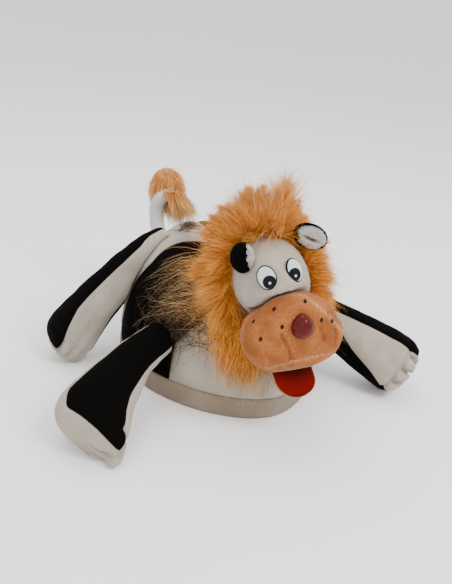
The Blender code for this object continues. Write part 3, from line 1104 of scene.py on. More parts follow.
@dataclass
class Crown:
    """Crown of five plush gores over a thin foam lining, sewn edge to edge."""

    low: float = 0.0183
    tip: float = 0.9985
    wall: float = 0.0028
    puff: float = 0.0020
    seam_depth: float = 0.0016
    seam_width: float = 0.0024
    hem: float = 0.02
    gap: float = 0.00025

    GORES = (
        Gore("crown_left_skin", Finish.CREAM, (-29, -35, -54, -70, -78), (30, 29, 24, 14, 8)),
        Gore("crown_back_left_skin", Finish.BLACK, (30, 29, 24, 14, 8), (90, 90, 92, 98, 104)),
        Gore("crown_back_right_skin", Finish.CREAM, (90, 90, 92, 98, 104), (158, 160, 161, 146, 130),
             wrinkle=0.0016),
        Gore("crown_right_skin", Finish.BLACK, (158, 160, 161, 146, 130), (214, 214, 228, 240, 254)),
        Gore("crown_front_skin", Finish.CREAM, (214, 214, 228, 240, 254), (331, 325, 306, 290, 282)),
    )

    def gore(self, row: Gore) -> Piece:
        """Make one gore as a fine curved wall.

        Args:
            row: The gore's seams and finish.

        Returns:
            The dressed piece.
        """
        bm = bmesh.new()
        bmesh.ops.create_grid(bm, x_segments=48, y_segments=64, size=0.5)
        start = CROWN.climb_to(self.low)
        for vert in bm.verts:
            share, rise = vert.co.x + 0.5, vert.co.y + 0.5
            climb = start + (self.tip - start) * rise
            first, last = row.edge(row.starts, climb), row.edge(row.ends, climb)
            lean_in = math.cos(climb * math.pi / 2) ** (2 / CROWN.fullness)
            radius = max(CROWN.half_width * lean_in, 0.0005)
            seam = min(math.degrees(self.gap / radius), 0.2 * (last - first))
            turn = first + seam + (last - first - 2 * seam) * share
            bulge = self.puff * math.sin(math.pi * share) * math.sin(climb * math.pi / 2)
            beside = min(share, 1 - share) * math.radians(last - first) * radius
            groove, hem = fade(beside, self.seam_width), fade(rise, self.hem)
            plain = CROWN.point(turn, climb)
            lumps = (noise.noise(plain * 38) + noise.noise(plain * 90) * 0.4) * row.wrinkle
            out = bulge + lumps * (1 - groove) * (1 - hem) - self.seam_depth * max(groove, 0.7 * hem)
            vert.co = CROWN.point(turn, climb, out)
            if rise == 0:
                vert.co.z = self.low
        piece = add_piece(row.name, bm)
        thicken(piece, self.wall)
        return dress(piece, row.finish, row.name.removesuffix("_skin"), fill=0.2)

    def build(self) -> None:
        """Make every gore."""
        for row in self.GORES:
            self.gore(row)


@dataclass
class Sweatband:
    """Band of lining cloth round the rim, folded over at both edges, which the hat stands on."""

    height: float = 0.0180
    wall: float = 0.0022
    set_in: float = 0.0008
    roll: float = 0.0012
    wave: float = 0.0004
    clearance: float = 0.0002
    girth: float = 0.594
    columns: int = 300
    rows: int = 12

    def build(self) -> Piece:
        """Make the band.

        Returns:
            The dressed piece, with a UV map in metres.
        """
        bm = bmesh.new()
        bmesh.ops.create_grid(bm, x_segments=self.columns, y_segments=self.rows, size=0.5)
        layer = bm.loops.layers.uv.new("UVMap")
        for face in bm.faces:
            for loop in face.loops:
                share = loop.vert.co.xy + Vector((0.5, 0.5))
                loop[layer].uv = (share.x * self.girth, share.y * self.height)
        for vert in bm.verts:
            turn, rise = 360 * (vert.co.x + 0.5), vert.co.y + 0.5
            fold = self.roll * abs(2 * rise - 1) ** 6
            wave = self.wave * math.sin(math.radians(turn) * 7) * math.sin(math.pi * rise)
            vert.co = CROWN.point(turn, 0.0, wave - self.set_in - fold)
            vert.co.z = self.clearance + (self.height - self.clearance) * rise
        bmesh.ops.remove_doubles(bm, verts=bm.verts, dist=0.00005)
        piece = add_piece("sweatband_cloth", bm)
        thicken(piece, self.wall)
        return dress(piece, Finish.BAND, "sweatband", fill=0.2)


# Head: skull, snout, nose, eyes, ears and tongue

@dataclass(frozen=True)
class HeadFrame:
    """Where the head sits and how it is turned and tipped."""

    centre: Place = (-0.009, -0.086, 0.112)
    turn: float = 15.0
    tip: float = 13.0
    snout_tip: float = 9.0
    half: Place = (0.028, 0.040, 0.031)

    def axes(self, tip: float | None = None) -> Matrix:
        """Columns are the head's left, back and top.

        Args:
            tip: How far the left side is raised, in degrees; the head's own if not given.

        Returns:
            The rotation matrix.
        """
        rise = self.tip if tip is None else tip
        turned = Matrix.Rotation(math.radians(-self.turn), 3, "Z")
        return turned @ Matrix.Rotation(math.radians(-rise), 3, "Y")

    def middle(self) -> Vector:
        """Centre of the head on the hat."""
        return Vector(CROWN.centre) + Vector(self.centre)

    def seat(self, aside: Sequence[float] = (0, 0, 0)) -> Seat:
        """Seat along the head's axes, a little way from its middle."""
        return Seat(self.axes(), self.middle() + self.axes() @ Vector(aside))

    def local(self, points: np.ndarray) -> np.ndarray:
        """Points as distances to the head's left, back and top."""
        return self.seat().measure(points)


HEAD = HeadFrame()


def egg(seat: Seat, half: Place, segments: int = 64) -> Solid:
    """Fine oval solid.

    Args:
        seat: Its middle and axes.
        half: Half sizes.
        segments: Sides round it.

    Returns:
        The solid.
    """
    bm = bmesh.new()
    bmesh.ops.create_uvsphere(bm, u_segments=segments, v_segments=segments // 2, radius=1.0)
    bmesh.ops.transform(bm, matrix=Matrix.Diagonal((*half, 1)), verts=bm.verts)
    bmesh.ops.transform(bm, matrix=Matrix.Translation(seat.centre) @ seat.axes.to_4x4(), verts=bm.verts)
    return bm


@dataclass
class Snout:
    """Stuffed velour muzzle: an upper panel, a lower strip, creases and whisker dots."""

    centre: Place = (-0.006, -0.118, 0.0845)
    half: Place = (0.038, 0.026, 0.0255)
    seam_depth: float = 0.0014
    seam_width: float = 0.0009
    # width of the painted sheen along the upper outline
    sheen_width: float = 0.0016
    crease_depth: float = 0.0020
    crease_width: float = 0.0014
    pinch: float = 0.0085
    pinch_run: Span = (0.010, 0.022)
    jowl: float = 0.0036
    jowl_run: Span = (-0.004, 0.025)
    lump: float = 0.0005
    dot: Place = (0.001275, 0.001725, 0.000675)

    SEAM = ((241.5, 336), (242.7, 348), (247.7, 358), (255, 364.3), (263.4, 368), (270.6, 368.1),
            (279, 366.1), (290.6, 362.9), (303.4, 359.3), (312, 357.9), (323.4, 355), (332, 353.6),
            (339, 350), (344, 345))
    # Outline of the upper panel, along which a pale sheen is painted
    SHEEN_EDGE = ((242.5, 330), (247, 318.6), (260.6, 307.2), (275, 298.5), (292, 294), (303.4, 296),
            (312, 301.7), (320.6, 308.9), (330.6, 318.9), (339.6, 327.4), (344, 336))
    CREASES = (((281.3, 335), (283.4, 340), (287, 346.4), (289.9, 353.6), (290.3, 362)),
               ((321.3, 328), (323.4, 333.6), (324.9, 341)), ((335.6, 329), (337, 339), (334.5, 346)))
    DOTS = ((274.1, 309), (253.6, 321.3), (282.2, 327), (260.6, 339.2), (305.2, 301.1), (321.6, 320.1),
            (332, 321.3))

    def build(self) -> Piece:
        """Make the muzzle and its dots.

        Returns:
            The dressed muzzle.
        """
        piece = Stuffing(voxel=0.0022, cap=0.0030, smooth=5).build("snout_velour", "snout")
        self.shape(piece)
        skin = skin_of(piece)
        points, normals = points_of(piece), normals_of(piece)
        seam = fade(VIEW.apart(points, skin, self.SEAM), self.seam_width)
        depth = self.seam_depth * seam
        # painted sheen along the upper outline, mixed with real fraying along the seam
        edge = fade(VIEW.apart(points, skin, self.SHEEN_EDGE), self.sheen_width)
        fray = np.maximum(0.9 * seam, 0.55 * edge)
        # painted shade in the creases, stored as "fold"
        dark = np.zeros(len(points))
        for crease in self.CREASES:
            apart = VIEW.apart(points, skin, crease)
            depth += self.crease_depth * fade(apart, self.crease_width)
            dark = np.maximum(dark, 0.30 * fade(apart, self.seam_width))
        lumps = self.lump * ripple(points, 70, 3.0)
        move_to(piece, points + normals * (lumps - depth)[:, None])
        write_attribute(piece, "fray", fray)
        # painted shade in the creases
        write_attribute(piece, "fold", dark)
        dress(piece, Finish.VELOUR, "snout", fill=0.85)
        self.dots(skin_of(piece))
        return piece

    def seat(self, aside: Place = (0, 0, 0)) -> Seat:
        """Seat along the muzzle's axes, a little way from its middle.

        Args:
            aside: How far to the muzzle's left, back and top.

        Returns:
            The seat.
        """
        axes = HEAD.axes(HEAD.snout_tip)
        return Seat(axes, Vector(CROWN.centre) + Vector(self.centre) + axes @ Vector(aside))

    def shape(self, piece: Piece) -> None:
        """Slope the muzzle down to the lion's left, and fill its lower right cheek.

        Args:
            piece: The muzzle.
        """
        seat = self.seat()
        local = seat.measure(points_of(piece))
        high = np.clip(local[:, 2] / self.half[2], 0, 1)
        aside = np.clip((local[:, 0] - self.pinch_run[0]) / self.pinch_run[1], 0, 1)
        local[:, 2] -= self.pinch * high * aside ** 1.3
        cheek = np.clip((self.jowl_run[0] - local[:, 0]) / self.jowl_run[1], 0, 1)
        local[:, 2] -= self.jowl * cheek * np.clip(-local[:, 2] / self.half[2], 0, 1)
        move_to(piece, seat.place(local))

    def dots(self, skin: BVHTree) -> Piece:
        """Sew the whisker dots, short knots of dark thread.

        Args:
            skin: The muzzle's surface.

        Returns:
            The dressed piece.
        """
        bm = bmesh.new()
        for pixel in self.DOTS:
            point, normal = VIEW.strike(skin, pixel)
            made = bmesh.ops.create_icosphere(bm, subdivisions=2, radius=1.0)
            place = Matrix.Translation(point) @ normal.to_track_quat("Z", "Y").to_matrix().to_4x4()
            bmesh.ops.transform(bm, matrix=place @ Matrix.Diagonal((*self.dot, 1)), verts=made["verts"])
        return dress(add_piece("whisker_dots", bm), Finish.THREAD)


@dataclass
class Face:
    """Plush skull with its nose and printed eyes."""

    nose_half: Place = (0.0075, 0.0075, 0.0086)
    nose_rise: float = 0.0175
    nose_aside: float = 0.0008
    nose_sink: float = 0.86
    nose_taper: float = 0.26
    eye_depth: float = 0.0040
    eye_front: float = 0.55
    eye_ahead: float = 0.7

    EYES = (("eye_right", (-0.0091, 0.0171), (0.0066, 0.0086), -17, (269.5, 282.3), (269.9, 283.2)),
            ("eye_left", (0.0106, 0.0178), (0.0058, 0.0086), -4, (295.2, 274.6), (295.9, 275.8)))

    def skull(self) -> Piece:
        """Stuff the skull.

        Returns:
            The dressed piece.
        """
        piece = Stuffing(shrink=0.0004, voxel=0.0025, cap=0.0022, smooth=5).build("head_plush", "head")
        points, normals = points_of(piece), normals_of(piece)
        move_to(piece, points + normals * (0.0004 * ripple(points, 60, 9.0))[:, None])
        return dress(piece, Finish.CREAM, "head", fill=0.9)

    def nose(self, snout: Snout) -> Piece:
        """Mould the nose, flatter at its back and fuller below.

        Args:
            snout: The muzzle that carries it.

        Returns:
            The dressed piece.
        """
        seat = snout.seat((self.nose_aside, -self.nose_sink * snout.half[1], self.nose_rise))
        piece = add_piece("nose_button", egg(seat, self.nose_half))
        local = seat.measure(points_of(piece))
        local[:, 0] *= 1 - self.nose_taper * local[:, 2] / self.nose_half[2]
        move_to(piece, seat.place(local))
        return dress(piece, Finish.NOSE, "nose")

    def eye(self, name: str, place: Span, size: Span, tilt: float, pupil: Pixel, glint: Pixel) -> Piece:
        """Mould and print one eye.

        Args:
            name: Its node.
            place: How far to the head's left and top it sits.
            size: Half its width and half its height.
            tilt: How far its top leans to the head's left, in degrees.
            pupil: Pixel of the pupil's middle.
            glint: Pixel of the glint's middle.

        Returns:
            The dressed piece.
        """
        half = HEAD.half
        flat = (place[0] / half[0]) ** 2 + (place[1] / half[2]) ** 2
        spot = Vector((place[0], -half[1] * math.sqrt(1 - flat), place[1]))
        back = -Vector([along / reach ** 2 for along, reach in zip(spot, half)]).normalized()
        back = (back + Vector((0, self.eye_ahead, 0))).normalized()
        across = back.cross(Vector((0, 0, 1))).normalized()
        axes = HEAD.axes() @ Matrix((across, back, across.cross(back))).transposed()
        seat = Seat(axes @ Matrix.Rotation(math.radians(tilt), 3, "Y"), HEAD.seat(spot).centre)
        piece = add_piece(f"{name}_plastic", egg(seat, (size[0], self.eye_depth, size[1]), 96))
        local = seat.measure(points_of(piece))
        local[:, 1] = np.where(local[:, 1] < 0, self.eye_front * local[:, 1], local[:, 1])
        points = seat.place(local)
        move_to(piece, points)
        skin = skin_of(piece)
        flatten = np.array(seat.axes.col[1])
        for key, pixel in (("pupil", pupil), ("glint", glint)):
            apart = points - np.array(VIEW.strike(skin, pixel)[0])
            apart -= np.outer(apart @ flatten, flatten)
            write_attribute(piece, key, np.linalg.norm(apart, axis=1))
        write_attribute(piece, "rim", np.hypot(local[:, 0] / size[0], local[:, 2] / size[1]))
        return dress(piece, Finish.EYE, name)

    def build(self, snout: Snout) -> Piece:
        """Make the skull, the nose and both eyes.

        Args:
            snout: The muzzle that carries the nose.

        Returns:
            The skull.
        """
        skull = self.skull()
        self.nose(snout)
        for row in self.EYES:
            self.eye(*row)
        return skull


@dataclass
class Ear:
    """Ear in two pieces, a black back like a cup and a fleece lining with a fold in it."""

    name: str
    place: Place
    half_width: float
    half_height: float
    turn: float
    tip: float
    fold_depth: float = 0.0044
    plump: float = 1.0
    wide: float = 1.0
    fold_height: float = 0.17
    fold_width: float = 0.55
    lump: float = 0.0005
    fuzz_length: float = 0.0022
    fuzz_width: float = 0.0004
    fuzz_count: int = 3200

    def seat(self) -> Seat:
        """Seat along the ear's own side, back and top.

        Returns:
            The seat.
        """
        turned = Matrix.Rotation(math.radians(self.turn), 3, "Z")
        return Seat(HEAD.axes() @ turned @ Matrix.Rotation(math.radians(self.tip), 3, "Y"),
                    HEAD.seat(self.place).centre)

    def from_fold(self, local: np.ndarray) -> tuple[np.ndarray, np.ndarray]:
        """Height above the fold's line and distance aside from its middle, as shares of half the ear."""
        return local[:, 2] / self.half_height + 0.15, local[:, 0] / self.half_width + 0.05

    def build(self) -> None:
        """Make the back, the lining and the lining's fuzz."""
        small = Stuffing(shrink=0.0004, voxel=0.0011, cap=0.0008, smooth=4)
        seat = self.seat()
        back = small.build(f"{self.name}_back", self.name)
        move_to(back, seat.place(seat.measure(points_of(back)) * (self.wide, self.plump, 1.0)))
        dress(back, Finish.BLACK, self.name, fill=0.3)
        lining = small.build(f"{self.name}_fleece", f"{self.name}_lining")
        normals = normals_of(lining)
        local = seat.measure(points_of(lining)) * (self.wide, 1.0, 1.0)
        points = seat.place(local)
        above, aside = self.from_fold(local)
        fold = fade(above, self.fold_height) * fade(aside, self.fold_width) * (local[:, 1] < 0)
        lumps = self.lump * ripple(points, 380, 5.0)
        move_to(lining, points + normals * (lumps - self.fold_depth * fold)[:, None])
        # painted shade: the fold's depth is stored as "fold", which darkens the fleece in the fold
        write_attribute(lining, "fold", np.clip(fold * self.fold_depth / 0.004, 0, 1))
        dress(lining, Finish.FLEECE, f"{self.name}_lining", fill=0.5)
        fuzz = Fur(f"{self.name}_fuzz", self.fuzz_width, 4, seed=len(self.name))
        roots, ways = fuzz.on(lining, self.fuzz_count, self.clear)
        flow = ways + fuzz.draw.normal(0, 0.5, ways.shape)
        length = self.fuzz_length * fuzz.draw.uniform(0.5, 1.0, len(roots))
        fuzz.build(fuzz.routes(roots, flow, length, 0.1, 0.5), Finish.FUZZ)

    def clear(self, places: np.ndarray) -> np.ndarray:
        """Whether each place lies off the fold, where the fuzz is worn short."""
        above, aside = self.from_fold(self.seat().measure(places))
        return (np.abs(above) > 0.3) | (np.abs(aside) > 0.65) | (self.fold_depth < 0.002)


EARS = (
    Ear("ear_right", (-0.0195, -0.0128, 0.0264), 0.0110, 0.0125, 80, -25, fold_depth=0.0010, plump=1.6),
    Ear("ear_left", (0.0332, 0.0030, 0.0252), 0.0135, 0.0100, 5, 35, wide=1.15),
)


@dataclass
class Tongue:
    """Tongue of red felt on a backing of tan felt, bent down under the muzzle."""

    root: Place = (0.001, -0.004, 0.003)
    half_width: float = 0.0140
    length: float = 0.024
    cup: float = 0.0015
    wall: float = 0.0013
    apart: float = 0.0020
    sway: float = 0.0045
    tucked: float = 0.20
    straight: float = 0.45
    bend: Span = (35, 30)

    def felt(self, name: str, finish: Finish, low: float, wider: float, snout: Snout) -> Piece:
        """Make one felt of the tongue.

        Args:
            name: Its node.
            finish: Its finish.
            low: How far below the upper felt it lies.
            wider: How far its edge stands out past the upper felt's.
            snout: The muzzle that it hangs from.

        Returns:
            The dressed piece.
        """
        seat = snout.seat()
        root = Vector(self.root) - Vector((0, 0, snout.half[2]))
        length = self.length + wider
        bm = bmesh.new()
        bmesh.ops.create_grid(bm, x_segments=28, y_segments=28, size=0.5)
        for vert in bm.verts:
            share, along = 2 * vert.co.x, self.tucked + (1 - self.tucked) * (vert.co.y + 0.5)
            rounding = max(along - self.straight, 0) / (1.0001 - self.straight)
            reach = max(1 - rounding ** 2, 0.0) ** 0.5
            half = (self.half_width + wider) * reach
            bend = math.radians(self.bend[0] + self.bend[1] * along)
            middle = root + Vector((0, -math.cos(bend), -math.sin(bend))) * length * along
            middle.x += self.sway * (along - 1)
            normal = Vector((0, -math.sin(bend), math.cos(bend)))
            rise = self.cup * share * share - low
            vert.co = seat.centre + seat.axes @ (middle + Vector((half * share, 0, 0)) + normal * rise)
        bmesh.ops.remove_doubles(bm, verts=bm.verts, dist=0.00003)
        bmesh.ops.recalc_face_normals(bm, faces=bm.faces)
        piece = add_piece(f"{name}_felt", bm)
        # painted shadow under the muzzle: darker the nearer the root, stored as "fold"
        hang = np.linalg.norm(points_of(piece) - np.array(snout.seat(root).centre), axis=1) / length
        write_attribute(piece, "fold", np.clip(1.25 - 1.6 * hang, 0, 1))
        thicken(piece, self.wall, offset=0.0)
        dress(piece, finish, name)
        return piece

    def build(self, snout: Snout) -> None:
        """Make both felts.

        Args:
            snout: The muzzle that they hang from.
        """
        self.felt("tongue", Finish.RED_FELT, self.wall / 2, 0.0, snout)
        self.felt("tongue_backing", Finish.TAN_FELT, self.wall / 2 + self.apart, 0.0009, snout)


# Legs

@dataclass
class Leg:
    """Stuffed leg with black side panels, a pale front, back and sole, and four toes."""

    name: str
    root: Place
    sole: Place
    front: Place
    sole_length: float
    foot_width: float
    bow: Place
    left_front: Table
    right_front: Table
    left_back: Table = ((0.0, -70), (1.0, -70))
    right_back: Table = ((0.0, -70), (1.0, -70))
    left_end: float = 0.97
    right_end: float = 0.97
    toe_depth: float = 0.0030
    toe_start: float = 0.84
    toe_width: float = 0.0016
    crease: float = 0.855
    bump: Pixel | None = None
    notch_aside: Pixel = (-11, -1)
    bump_height: float = 0.0060
    bump_width: float = 0.0075
    notch_depth: float = 0.0022
    notch_width: float = 0.0035
    seam_depth: float = 0.0008
    seam_width: float = 0.0012
    corner: float = 0.0025
    crease_width: float = 0.016
    crease_arch: float = 0.012

    SECTIONS = (
        (0.00, 0.50, 0.42), (0.15, 0.68, 0.50), (0.40, 0.80, 0.58), (0.68, 0.92, 0.78), (0.80, 0.97, 0.92),
        (0.90, 1.00, 1.00), (0.97, 0.94, 0.97), (1.02, 0.72, 0.80), (1.05, 0.36, 0.44),
    )
    TOE_GAPS = (-0.5, 0.0, 0.5)

    def measure(self, points: np.ndarray) -> tuple[np.ndarray, np.ndarray, np.ndarray]:
        """Places on the leg as shares of its length, half width and half depth.

        Args:
            points: One row for each point.

        Returns:
            Share along it, share to its left and share to its front.
        """
        centre = np.array(CROWN.centre)
        root, sole = np.array(self.root) + centre, np.array(self.sole) + centre
        axis = sole - root
        length = np.linalg.norm(axis)
        axis /= length
        side = np.cross(axis, np.array(self.front))
        side /= np.linalg.norm(side)
        forward = np.cross(side, axis)
        along = (points - root) @ axis / length
        bowed = np.array(self.bow)[None] * np.sin(np.pi * np.clip(along, 0, 1))[:, None]
        along = (points - bowed - root) @ axis / length
        rest = points - root - along[:, None] * (sole - root) - bowed
        table = np.array(self.SECTIONS)
        width = np.interp(along, table[:, 0], table[:, 1]) * self.foot_width / 2
        depth = np.interp(along, table[:, 0], table[:, 2]) * self.sole_length / 2
        return along, rest @ side / width, rest @ forward / depth

    def panel(self, along: np.ndarray, aside: np.ndarray, ahead: np.ndarray) -> np.ndarray:
        """Distance inside the black panels, below zero on the pale cloth.

        Args:
            along: Share along the leg.
            aside: Share to its left.
            ahead: Share to its front.

        Returns:
            Signed distance from the panels' seams.
        """
        length = (Vector(self.sole) - Vector(self.root)).length
        radius = 0.5 * (self.foot_width + self.sole_length) / 2 * np.hypot(aside, ahead)
        insides = []
        for sign, fronts, backs, end in ((1, self.left_front, self.left_back, self.left_end),
                                         (-1, self.right_front, self.right_back, self.right_end)):
            angle = np.degrees(np.arctan2(ahead, sign * aside))
            first, last = np.array(fronts), np.array(backs)
            front = np.radians(np.interp(along, first[:, 0], first[:, 1]) - angle) * radius
            back = np.radians(angle - np.interp(along, last[:, 0], last[:, 1])) * radius
            sole = (end - along) * length
            parts = (np.clip(part, -0.03, 0.03) for part in (front, back, sole))
            insides.append(-self.corner * np.log(sum(np.exp(-part / self.corner) for part in parts)))
        return np.maximum(*insides)

    def build(self) -> Piece:
        """Stuff the leg, sew its seams and toes, and mark its panels.

        Returns:
            The dressed piece.
        """
        piece = Stuffing(voxel=0.0025, cap=0.0020, smooth=3).build(f"{self.name}_plush", self.name)
        points, normals = points_of(piece), normals_of(piece)
        along, aside, ahead = self.measure(points)
        panel = self.panel(along, aside, ahead)
        depth = self.seam_depth * fade(panel, self.seam_width)
        on_front = np.clip(ahead * 2.0, 0, 1)
        on_toes = np.clip((along - self.toe_start) / 0.05, 0, 1) * on_front
        for gap in self.TOE_GAPS:
            near = (aside - gap) * self.foot_width / 2
            depth += self.toe_depth * fade(near, self.toe_width) * on_toes
        arch = self.crease + self.crease_arch * np.abs(np.cos(2 * np.pi * aside))
        fold = fade(along - arch, self.crease_width) * on_front * (np.abs(aside) < 0.98)
        depth += 0.5 * self.toe_depth * fold
        lumps = 0.0009 * ripple(points, 42, len(self.name)) + 0.0004 * ripple(points, 110, 2.0)
        calm = np.clip(np.abs(panel) / 0.004, 0, 1)
        moved = points + normals * (lumps * calm - depth)[:, None]
        if self.bump:
            moved += self.stub(piece, points)
            panel = self.panel(*self.measure(moved))
        moved[:, 2] = np.maximum(moved[:, 2], 0.0002)
        move_to(piece, moved)
        write_attribute(piece, "panel", panel)
        return dress(piece, Finish.PANELS, self.name, fill=0.75)

    def stub(self, piece: Piece, points: np.ndarray) -> np.ndarray:
        """Push out one toe that stands clear of the others, with a notch beside it.

        Args:
            piece: The leg's skin.
            points: Places of its vertices.

        Returns:
            How far each vertex moves.
        """
        skin = skin_of(piece)
        beside = (self.bump[0] + self.notch_aside[0], self.bump[1] + self.notch_aside[1])
        spots = [np.array(VIEW.strike(skin, pixel)[0]) for pixel in (self.bump, beside)]
        near, notch = (np.linalg.norm(points - spot, axis=1) for spot in spots)
        push = self.bump_height * fade(near ** 2, self.bump_width ** 2)
        push -= self.notch_depth * fade(notch, self.notch_width)
        out = Vector((-VIEW.ahead[0], -VIEW.ahead[1], -0.25)).normalized()
        return push[:, None] * np.array(out)


LEGS = (
    Leg("leg_front_right", (-0.062, -0.036, 0.052), (-0.1472, -0.0988, 0.0168), (0.62, -0.48, -0.62),
        0.059, 0.046, (-0.0050, 0.0040, 0.0050),
        left_front=((0.14, 52), (0.32, 43), (0.50, 35), (0.65, 31.5), (0.77, 33.5), (0.87, 41), (0.91, 55)),
        right_front=((0.0, 40), (1.0, 40)),
        left_back=((0.34, -80), (0.50, -74), (0.61, -75), (0.78, -70), (0.87, -72), (0.94, -64)),
        left_end=0.985, right_end=0.96, bump=(118.0, 458.0)),
    Leg("leg_front_left", (0.0597, -0.0462, 0.0622), (0.1265, -0.1035, 0.0210), (-0.49, -0.80, 0.35),
        0.050, 0.054, (0.0, 0.0, 0.0),
        left_front=((0.32, 85), (0.41, 74), (0.51, 63), (0.62, 55), (0.76, 47), (0.93, 31)),
        right_front=((0.22, 59.5), (0.32, 56), (0.51, 50), (0.64, 48.5), (0.80, 50), (0.89, 54.5),
                     (1.0, 52)),
        left_end=1.0, right_end=1.0, toe_depth=0.0052, toe_start=0.89, crease=0.885),
    Leg("leg_back_right", (-0.040, 0.025, 0.109), (-0.129, 0.033, 0.0125), (-0.05, -0.99, -0.06),
        0.044, 0.044, (0.0, 0.0, 0.009),
        left_front=((0.02, 10), (0.10, 13), (0.21, 36), (0.38, 45), (0.57, 43), (0.76, 41), (0.86, 50),
                    (0.95, 60)),
        right_front=((0.0, 45), (1.0, 45)),
        left_end=1.02, right_end=0.96, toe_depth=0.0026, toe_start=0.93, crease=0.925),
    Leg("leg_back_left", (0.036, 0.040, 0.094), (0.118, 0.062, 0.0132), (0.05, -0.99, -0.06),
        0.044, 0.044, (0.0, 0.0, 0.009),
        left_front=((0.0, 42), (1.0, 42)), right_front=((0.0, 42), (1.0, 42)),
        left_end=0.93, right_end=0.93),
)


# Fur: mane, hairs strayed over the crown, tail and its tuft

@dataclass(frozen=True)
class Coat:
    """One layer of the mane: how many fibres, how thick, how long, how untidy and how clumped."""

    name: str
    count: int
    width: float
    reach: float
    wander: float
    locks: int
    pull: float
    seed: int
    inward: float = 0.0


@dataclass
class Mane:
    """Long fur round the face, in layers on a padded backing."""

    centre: Place = (0.0, 0.010, -0.010)
    half_width: float = 0.032
    half_height: float = 0.047
    inner: float = 0.80
    top: float = 0.190
    bleached_from: float = 0.146
    bleached_to: float = 0.182

    lift: float = 0.18
    lump: float = 0.0016
    shortest: float = 0.009
    longest: float = 0.040
    nape_behind: float = 0.008
    nape_length: float = 0.015

    COATS = (Coat("mane_fur", 24000, 0.00040, 1.0, 0.16, 420, 0.72, 11),
             Coat("mane_down", 22000, 0.00028, 0.9, 0.34, 1600, 0.40, 12),
             Coat("mane_wisps", 1800, 0.00024, 1.8, 0.40, 300, 0.50, 13),
             Coat("mane_fringe", 9000, 0.00030, 0.6, 0.30, 260, 0.50, 14, inward=0.5))
    NAPE = Coat("nape_fur", 18000, 0.00052, 1.0, 0.25, 400, 0.45, 15)
    ANGLE_LENGTH_SPREAD_FALL = (
        (0, 0.018, 0.5, 0.1), (40, 0.016, 0.4, 0.0), (58, 0.018, 0.25, 0.0), (67, 0.040, 0.1, 0.0),
        (77, 0.022, 0.2, 0.0), (90, 0.018, 0.2, 0.0), (102, 0.030, 0.2, 0.0), (115, 0.020, 0.25, 0.0),
        (140, 0.018, 0.4, 0.0), (180, 0.018, 0.5, 0.3), (212, 0.024, 0.3, 0.9), (240, 0.036, 0.0, 1.2),
        (265, 0.030, 0.0, 0.9), (300, 0.018, 0.3, 0.3), (330, 0.018, 0.5, 0.1), (360, 0.018, 0.5, 0.1),
    )

    def backing(self) -> Piece:
        """Make the padded backing with its rough locks.

        Returns:
            The dressed piece.
        """
        piece = Stuffing(shrink=0.0016, voxel=0.0026, cap=0.001, smooth=3).build("mane_backing", "mane")
        points, normals = points_of(piece), normals_of(piece)
        move_to(piece, points + normals * (self.lump * ripple(points, 150, 4.0))[:, None])
        return dress(piece, Finish.BACKING, "mane", fill=0.6)

    def grow(self, backing: Piece, coat: Coat) -> Piece:
        """Grow one layer of fur out of the backing.

        Args:
            backing: The padded ring.
            coat: The layer.

        Returns:
            The dressed piece.
        """
        fur = Fur(coat.name, coat.width, seed=coat.seed)
        roots, ways = fur.on(backing, coat.count, self.rim if coat.inward else self.outside)
        local = self.spot(roots)
        angle = np.degrees(np.arctan2(local[:, 2] / self.half_height, local[:, 0] / self.half_width)) % 360
        table = np.array(self.ANGLE_LENGTH_SPREAD_FALL)
        length, spread, fall = (np.interp(angle, table[:, 0], table[:, row]) for row in (1, 2, 3))
        turn = np.radians(angle)
        out = np.stack((np.cos(turn), spread * 0.8, np.sin(turn)), axis=1) @ np.array(HEAD.axes()).T
        out /= np.linalg.norm(out, axis=1, keepdims=True)
        ring = np.hypot(self.half_width * np.cos(turn), self.half_height * np.sin(turn))
        beyond = np.maximum(np.hypot(local[:, 0], local[:, 2]) - ring, 0)
        flat = out - ways * (out * ways).sum(axis=1, keepdims=True)
        flow = flat + 0.25 * out + self.lift * ways + fur.draw.normal(0, coat.wander, out.shape)
        flow[:, 2] -= fall
        if coat.inward:
            front = np.array(HEAD.axes() @ Vector((0, -0.8, 0)))
            flow = front - coat.inward * out + 0.3 * ways + fur.draw.normal(0, coat.wander, out.shape)
            flow[:, 2] -= 0.5 * fall
        size = np.clip(length + 0.004 - 0.7 * beyond, self.shortest, self.longest) * coat.reach
        size = size * fur.draw.uniform(0.6, 1.15, len(roots))
        lines = fur.clump(fur.routes(roots, flow, size, 0.18, 0.22), coat.locks, coat.pull)
        lines[:, :, 2] = np.minimum(lines[:, :, 2], self.top)
        height = (roots[:, 2] - self.bleached_from) / (self.bleached_to - self.bleached_from)
        pale = np.clip(height + fur.draw.normal(0, 0.25, len(roots)), 0, 1)
        return fur.build(lines, Finish.MANE, pale)

    def spot(self, roots: np.ndarray) -> np.ndarray:
        """Roots as distances from the ring's middle to the head's left, back and top."""
        return HEAD.local(roots) - np.array(self.centre)

    def reach(self, roots: np.ndarray) -> np.ndarray:
        """How far out each root lies from the ring's middle, as a share of the ring."""
        local = self.spot(roots)
        return np.hypot(local[:, 0] / self.half_width, local[:, 2] / self.half_height)

    def outside(self, roots: np.ndarray) -> np.ndarray:
        """Whether each root lies clear of the face."""
        return self.reach(roots) > self.inner

    def rim(self, roots: np.ndarray) -> np.ndarray:
        """Whether each root lies on the ring's rim beside the face, below its crest.

        Args:
            roots: Places of the roots.

        Returns:
            One answer for each root.
        """
        local = self.spot(roots)
        beside = (local[:, 0] < 0) & (local[:, 2] < self.half_height * 0.35) & (local[:, 1] < 0.008)
        return beside & (self.reach(roots) < self.inner + 0.3)

